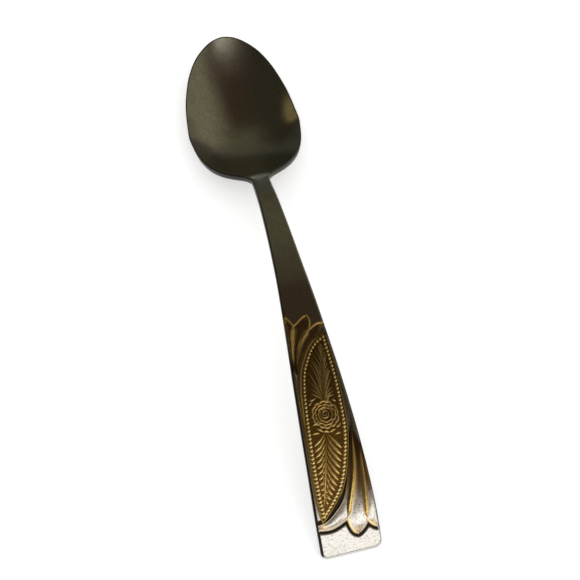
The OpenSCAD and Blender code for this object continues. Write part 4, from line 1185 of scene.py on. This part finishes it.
def gilt_wear_and_shade_group():
    """Gilding by height: brown in the recesses, partly tarnish and partly painted shade, full gold
    on the slopes, pale where the crests are rubbed; noise makes the borders ragged. Rough gives a
    roughness that falls with the rubbing."""
    def build(w, given, out):
        high = w.plus(given["High"], w.times(w.ragged(given["Vector"], 1500.0), 0.35))
        # Brown low down: partly tarnish, partly painted shade in the recesses
        body = w.mix(w.step(high, 0.08, 0.62), given["Recess"], given["Gold"])
        top = w.times(w.step(high, 0.75, 1.0), given["Rubbing"])
        w.feed(out["Color"], w.mix(top, body, given["Rubbed"]))
        w.feed(out["Rough"], w.step(high, 0.1, 0.9, 0.5, 0.24))

    return shader_group("Gilt wear and shade",
                        {"Vector": VECTOR, "High": NUMBER, "Recess": COLOUR, "Gold": COLOUR,
                         "Rubbed": COLOUR, "Rubbing": NUMBER},
                        {"Color": COLOUR, "Rough": NUMBER}, build)


def bare_finish(name, metallic=1.0):
    """A new finish: its material, its wires, its shader's inputs and its object coordinates."""
    material = bpy.data.materials.new(name)
    material.use_nodes = True
    w = Wires(material.node_tree)
    inputs = material.node_tree.nodes["Principled BSDF"].inputs
    inputs["Metallic"].default_value = metallic
    return material, w, inputs, w.node("ShaderNodeTexCoord").outputs["Object"]


def place_y(along):
    """Object coordinate of a place so many millimetres from the handle's end."""
    return (along - spoon().full_l / 2) * MM


def grained(w, inputs, where, brushed, skin, pits, depth):
    """Adds the fine grain to a finish as a bump, and gives back the pits' mask."""
    grain = w.group(grain_group(), Vector=where, Brushed=brushed, Skin=skin, Pits=pits)
    bump = w.node("ShaderNodeBump")
    for key, value in (("Distance", depth * MM), ("Strength", 1.0), ("Height", grain["Height"])):
        w.feed(bump.inputs[key], value)
    w.feed(inputs["Normal"], bump.outputs["Normal"])
    return grain["Pit mask"]


def steel_colour(w, where, f, low, high):
    """Patinated steel with a painted light near the handle's end, a painted reflection of the soft
    box: fully up to the low share of the painted light's length and not beyond the high one. Gives
    the colour, the painted light's mask and the patina's."""
    patina = w.group(patina_group(), Vector=where, Size=85.0, Amount=0.5)["Mask"]
    colour = w.mix(patina, f.steel_light, f.steel_dark)
    place = w.plus(w.split(where)["Y"], w.times(w.ragged(where, 700.0), 6 * MM))
    # Painted light: the mask of the bright steel painted over the handle's end
    lit_end = w.step(place, place_y(low * f.lit_end_l), place_y(high * f.lit_end_l), 1.0, 0.0)
    speck = w.step(w.noise(where, 1500.0, 3.0, 0.7), 0.45, 0.7, 0.0, 0.3)
    colour = w.mix(speck, colour, [1.7 * v for v in f.steel_light])
    colour = w.mix(lit_end, colour, f.steel_lit_end)
    fleck = w.step(w.noise(where, 2300.0, 2.0, 0.75), 0.53, 0.66, 0.0, 0.55)
    return w.mix(w.times(fleck, lit_end), colour, f.steel_dark), lit_end, patina


def steel_finish(f):
    """Steel of the blank: cloudy patina, painted light at the handle's end, painted shade on the
    rougher side walls, a dark deposit with painted shade in the grooves and a fine grain."""
    material, w, inputs, where = bare_finish("patinated steel")
    colour, lit_end, cloud = steel_colour(w, where, f, 0.4, 1.05)
    pit = grained(w, inputs, where, 0.35, 0.35, 0.8, f.grain)
    x, y, _ = w.split(where)
    wall = w.attribute("wall")
    # How far round the edge the painted shade on the side walls starts: at once on the left, later
    # on the right, and there latest along the stem. The very end of the handle stays light.
    stem = w.step(y, place_y(49), place_y(54), 0.2, 0.5)
    start = w.step(x, -2 * MM, 2 * MM, 0.1, stem)
    wall_shade_mask = w.times(w.step(wall, start, w.plus(start, 0.35)), w.step(y, place_y(0.2), place_y(0.9)))
    colour = w.mix(wall_shade_mask, colour, f.wall_shade_tint)
    # Grooves darken with their depth: partly a dark deposit, partly painted shade
    sunk = w.times(w.attribute("relief"), -4.5)
    colour = w.mix(w.step(sunk, 0.12, 0.75), colour, f.soot_and_shade)
    w.feed(inputs["Base Color"], w.mix(pit, colour, w.mix(0.5, colour, f.soot_and_shade)))
    rough = w.plus(w.times(cloud, 0.06), 0.17)
    rough = w.plus(w.plus(rough, w.times(lit_end, 0.12)), w.times(wall, 0.2))
    w.feed(inputs["Roughness"], w.plus(rough, w.step(sunk, 0.1, 0.8, 0.0, 0.3)))
    return material


def petal_finish(f):
    """Half gilded petals: gold on the ridges, patinated steel in the hollows, with painted light
    towards the tips of the lower petals, which are also yellowish from their gilding."""
    material, w, inputs, where = bare_finish("half gilt petals")
    steel, _, cloud = steel_colour(w, where, f, 0.5, 1.15)
    pit = grained(w, inputs, where, 0.15, 0.6, 0.9, f.grain * 1.6)
    gild, high = w.attribute("gild"), w.attribute("high")
    crest = w.math("MAXIMUM", high, w.times(gild, 0.9))
    gilt = w.group(gilt_wear_and_shade_group(), Vector=where, High=crest, Recess=f.gold_brown_and_shade, Gold=f.gold,
                   Rubbed=f.gold_pale, Rubbing=0.5)["Color"]
    ragged = w.ragged(where, 1300.0, 0.7)
    mask = w.step(w.plus(gild, w.times(ragged, 0.5)), 0.15, 0.75)
    # Umber by the umber share: on the lower petals it is painted shade away from the handle's end
    umber_share = w.plus(w.attribute("umber_share"), w.times(ragged, 0.9))
    steel = w.mix(w.step(umber_share, 0.1, 1.0), steel, f.umber)
    old = w.mix(w.step(umber_share, 0.0, 1.0, 0.0, 0.6), gilt, f.umber)
    colour = w.mix(mask, steel, old)
    colour = w.mix(pit, colour, w.mix(0.6, colour, f.soot_and_shade))
    # The petals' feet, where they run down into the groove, darken to the groove's colour: partly a
    # dark deposit, partly painted shade
    w.feed(inputs["Base Color"], w.mix(w.step(high, 0.0, 0.12, 0.85, 0.0), colour, f.soot_and_shade))
    w.feed(inputs["Roughness"], w.plus(w.times(cloud, 0.08), 0.26))
    return material


def gilt_finish(name, f, rubbing, strength, grain, stem_shade=0.62):
    """Full gilding: brown in its recesses, partly tarnish and partly painted shade, pale where it
    is rubbed, over a coined skin. A painted shade darkens it towards the stem. Strength sets how
    much of the gold's colour is left."""
    material, w, inputs, where = bare_finish(name)
    pit = grained(w, inputs, where, 0.0, 1.0, 0.4, grain)
    gilt = w.group(gilt_wear_and_shade_group(), Vector=where, High=w.attribute("high"), Recess=f.gold_brown_and_shade,
                   Gold=[strength * v for v in f.gold], Rubbed=f.gold_pale, Rubbing=rubbing)
    # Painted shade: the gilding darkens from 20 to 40 mm along the spoon
    stem_shade_mask = w.step(w.split(where)["Y"], place_y(20), place_y(40), 0.0, stem_shade)
    w.feed(inputs["Base Color"], w.mix(pit, w.mix(stem_shade_mask, gilt["Color"], f.stem_shade_brown), f.soot_and_shade))
    w.feed(inputs["Roughness"], gilt["Rough"])
    return material


# ---------------------------------------------------------------- stage

WHITE = (1.0, 1.0, 1.0)


class SPOON_PG_stage(bpy.types.PropertyGroup):
    """Camera, floor and light."""

    lens: FloatProperty(name="Lens", description="Focal length in millimetres on a 36 mm wide "
                        "frame", default=59.35, min=10.0)
    floor_tint: tint("Floor", "Colour of the floor", (0.86, 0.86, 0.86))
    sky_level: FloatProperty(name="Room light", description="Strength of the room's plain light",
                             default=0.95, min=0.0)
    box_level: FloatProperty(name="Soft box", description="Power of the soft box in watts",
                             default=1.02, min=0.0)


def seen_directly(w):
    """1 for rays from the camera, from mirrors and through glass, and 0 for all others."""
    path = w.node("ShaderNodeLightPath").outputs
    direct = w.plus(path["Is Camera Ray"], path["Is Glossy Ray"])
    return w.plus(direct, path["Is Transmission Ray"], clamp=True)


def floor_piece(st):
    """The floor: a plain pale sheet, flat and level, just under the spoon. It keeps the shadow,
    and a little light of its own makes it white to the camera and in reflections."""
    n, reach, drop, glow = 9, 1.6, 0.02, 0.3
    x, y = np.meshgrid(np.linspace(-reach, reach, n), np.linspace(-reach, reach, n), indexing="ij")
    mesh = bpy.data.meshes.new("floor")
    co = np.stack([x, y, 0 * x - drop * MM], -1).reshape(-1, 3)
    mesh.from_pydata(co.tolist(), [], grid_faces(n, n)[:, ::-1].tolist())
    floor = bpy.data.objects.new("floor", mesh)
    bpy.context.collection.objects.link(floor)
    material, w, inputs, _ = bare_finish("pale floor", 0.0)
    for key, value in (("Base Color", st.floor_tint), ("Roughness", 0.9),
                       ("Specular IOR Level", 0.0), ("Emission Color", WHITE),
                       ("Emission Strength", w.times(seen_directly(w), glow))):
        w.feed(inputs[key], value)
    mesh.materials.append(material)


def room_light(st):
    """The world: a plain white light for matt surfaces, and plain white for the camera. Mirror
    surfaces see a room instead: white below the horizon, and over it a dim olive ceiling, darker
    on the left, lighter on the right and with one amber glow low on the left."""
    world = bpy.data.worlds.new("room")
    bpy.context.scene.world = world
    world.use_nodes = True
    w = Wires(world.node_tree)
    plain = world.node_tree.nodes["Background"]
    w.feed(plain.inputs["Color"], WHITE)
    w.feed(plain.inputs["Strength"], st.sky_level)
    where = w.node("ShaderNodeTexCoord").outputs["Generated"]
    x, y, z = w.split(where)
    glow = w.node("ShaderNodeVectorMath", operation="DISTANCE")
    w.feed(glow.inputs[0], where)
    w.feed(glow.inputs[1], (-0.67, 0.53, 0.52))
    # Where in the room each colour lies, by direction; a later one covers the earlier ones
    view = (0.074, 0.044, 0.026)
    for mask, colour in (
            (w.step(z, 0.93, 0.72), (0.17, 0.162, 0.11)),
            (w.step(y, -0.1, -0.4), (0.21, 0.165, 0.125)),
            (w.step(y, -0.32, -0.6), (0.46, 0.37, 0.27)),
            (w.step(x, 0.1, -0.35), (0.046, 0.042, 0.026)),
            (w.step(x, 0.2, 0.62), (0.39, 0.36, 0.28)),
            (w.times(w.step(y, 0.35, 0.8), w.step(z, 0.45, 0.1)), (0.11, 0.108, 0.098)),
            (w.step(glow.outputs["Value"], 0.22, 0.06), (0.43, 0.33, 0.16)),
            (w.step(w.noise(where, 4.0, 3.0, 0.6), 0.45, 0.75, 0.0, 0.5), (0.05, 0.035, 0.025)),
            (w.step(z, 0.0, -0.03), WHITE),
            (w.node("ShaderNodeLightPath").outputs["Is Camera Ray"], WHITE)):
        view = w.mix(mask, view, colour)
    seen = w.node("ShaderNodeBackground")
    w.feed(seen.inputs["Color"], view)
    both = w.node("ShaderNodeMixShader")
    for target, source in zip(both.inputs, (seen_directly(w), plain.outputs[0], seen.outputs[0])):
        w.feed(target, source)
    w.feed(world.node_tree.nodes["World Output"].inputs["Surface"], both.outputs[0])


def soft_box(name, towards, distance, wide, tall, watts, target=(0, 0, 0), spread=180):
    """A soft box: an area lamp in a direction from the object, turned to face a target and
    narrowed to a beam by its grid."""
    lamp = bpy.data.objects.new(name, bpy.data.lights.new(name, "AREA"))
    lamp.data.shape = "RECTANGLE"
    lamp.data.size, lamp.data.size_y = wide, tall
    lamp.data.energy = watts
    lamp.data.spread = math.radians(spread)
    lamp.location = Vector(towards).normalized() * distance
    lamp.rotation_mode = "QUATERNION"
    lamp.rotation_quaternion = (lamp.location - Vector(target)).to_track_quat("Z", "Y")
    lamp.visible_camera = False
    bpy.context.collection.objects.link(lamp)


def camera(st):
    """The camera, from the photograph's place: over the handle's left, looking down the spoon."""
    cam = bpy.data.objects.new("camera", bpy.data.cameras.new("camera"))
    bpy.context.collection.objects.link(cam)
    right = Vector((0.97035, -0.23592, 0.05247))
    up = Vector((0.19628, 0.89592, 0.39849))
    back = Vector((-0.14102, -0.37638, 0.91567))
    turn = Matrix((right, up, back)).transposed().to_4x4()
    turn.translation = (-0.03201, -0.09330, 0.21815)
    cam.matrix_world = turn
    cam.data.lens = st.lens
    cam.data.sensor_width = 36.0
    cam.data.clip_start = 0.005
    cam.data.dof.use_dof = False
    bpy.context.scene.camera = cam


# ---------------------------------------------------------------- operators


class SPOON_OT_blank(bpy.types.Operator):
    """Make the steel blank: plain tip, handle panel, stem, neck and bowl"""

    bl_idname = "spoon.blank"
    bl_label = "Steel blank"

    def execute(self, context):
        s = context.scene.spoon_blank
        steel = steel_finish(context.scene.spoon_finish)
        sunk = relief_lines().sunk
        neck_start = s.handle_l - s.neck_l
        dress(tip_piece(sunk), "steel", steel, "plain_tip")
        # Name, start and end along the spoon, rings, points across and what sinks the face
        for name, low, high, rows, cols, relief in (
                ("handle_panel", s.plain_l, s.panel_end_l, 430, PANEL_COLS, sunk),
                ("stem", s.panel_end_l, neck_start, 120, STEM_COLS, None),
                ("neck", neck_start, s.handle_l, 60, STEM_COLS, None)):
            y = np.linspace(low, high, rows)
            dress(handle_run(name, y, cols, relief), "steel", steel, name)
        dress(bowl_piece(), "steel", steel, "bowl")
        return {"FINISHED"}


class SPOON_OT_petals(bpy.types.Operator):
    """Make the six half gilt petals in the panel's two free corners"""

    bl_idname = "spoon.petals"
    bl_label = "Petals"

    def execute(self, context):
        finish = petal_finish(context.scene.spoon_finish)
        for name in PETALS:
            dress(petal_piece(name), "gilt", finish, name)
        return {"FINISHED"}


class SPOON_OT_medallion(bpy.types.Operator):
    """Make the medallion's ground, plain band and bead border"""

    bl_idname = "spoon.medallion"
    bl_label = "Medallion"

    def execute(self, context):
        f = context.scene.spoon_finish
        # Piece, then name, colours, rubbing, strength, grain and painted shade towards the stem of
        # its gilding
        for piece, finish, node in (
                (ground_piece(), ("old gilt ground", f, 0.0, 0.8, 0.02), "medallion_ground"),
                (band_piece(), ("gilt band", f, 0.25, 0.85, 0.006), "medallion_band"),
                (beads_piece(), ("gilt beads", f, 1.0, 1.1, 0.002, 0.35), "bead_border")):
            dress(piece, "gilt", gilt_finish(*finish), node)
        return {"FINISHED"}


class SPOON_OT_sprays(bpy.types.Operator):
    """Make the upper spray, the lower spray and the small leaves round the rose"""

    bl_idname = "spoon.sprays"
    bl_label = "Sprays"

    def execute(self, context):
        finish = gilt_finish("gilt leaves", context.scene.spoon_finish, 1.0, 1.12, 0.004)
        dress(upper_spray_piece(), "gilt", finish, "upper_spray")
        dress(lower_spray_piece(), "gilt", finish, "lower_spray")
        dress(collar_piece(), "gilt", finish, "collar_leaves")
        return {"FINISHED"}


class SPOON_OT_rose(bpy.types.Operator):
    """Make the rose: open petals round a wound heart"""

    bl_idname = "spoon.rose"
    bl_label = "Rose"

    def execute(self, context):
        finish = gilt_finish("gilt rose", context.scene.spoon_finish, 0.8, 1.1, 0.004, 0.5)
        dress(rose_petals_piece(), "gilt", finish, "rose_petals")
        dress(rose_heart_piece(), "gilt", finish, "rose_heart")
        return {"FINISHED"}


class SPOON_OT_stage(bpy.types.Operator):
    """Make the pale floor, the room's light, the two soft boxes and the camera"""

    bl_idname = "spoon.stage"
    bl_label = "Stage"

    def execute(self, context):
        st = context.scene.spoon_stage
        floor_piece(st)
        room_light(st)
        # The small box only makes the highlight at the bowl's tip
        soft_box("soft box", (0.12, -0.86, 0.50), 0.8, 0.9, 0.24, st.box_level)
        soft_box("small box", (0.095, -0.142, 0.985), 0.342, 0.11, 0.022,
                 st.box_level * 0.0006, target=(0.001, 0.067, 0.008), spread=32)
        camera(st)
        context.scene.view_settings.view_transform = "Standard"
        return {"FINISHED"}


class SPOON_PT_panel(bpy.types.Panel):
    """Sizes, colours and makers of the teaspoon's pieces"""

    bl_idname = "SPOON_PT_panel"
    bl_label = "Teaspoon"
    bl_space_type = "VIEW_3D"
    bl_region_type = "UI"
    bl_category = "Teaspoon"

    def draw(self, context):
        for operator in OPERATORS:
            self.layout.operator(operator.bl_idname)
        for key, group in GROUPS.items():
            box = self.layout.box()
            for name in group.__annotations__:
                box.prop(getattr(context.scene, key), name)


GROUPS = {"spoon_blank": SPOON_PG_blank, "spoon_ornament": SPOON_PG_ornament,
          "spoon_finish": SPOON_PG_finish, "spoon_stage": SPOON_PG_stage}
OPERATORS = (SPOON_OT_blank, SPOON_OT_petals, SPOON_OT_medallion, SPOON_OT_sprays,
             SPOON_OT_rose, SPOON_OT_stage)


def register():
    for kind in (*GROUPS.values(), *OPERATORS, SPOON_PT_panel):
        bpy.utils.register_class(kind)
    for key, group in GROUPS.items():
        setattr(bpy.types.Scene, key, PointerProperty(type=group))


def unregister():
    for key in GROUPS:
        delattr(bpy.types.Scene, key)
    for kind in reversed((*GROUPS.values(), *OPERATORS, SPOON_PT_panel)):
        bpy.utils.unregister_class(kind)


def main():
    """Makes every piece and the stage."""
    register()
    bpy.ops.spoon.blank()
    bpy.ops.spoon.petals()
    bpy.ops.spoon.medallion()
    bpy.ops.spoon.sprays()
    bpy.ops.spoon.rose()
    bpy.ops.spoon.stage()


if __name__ == "__main__":
    main()
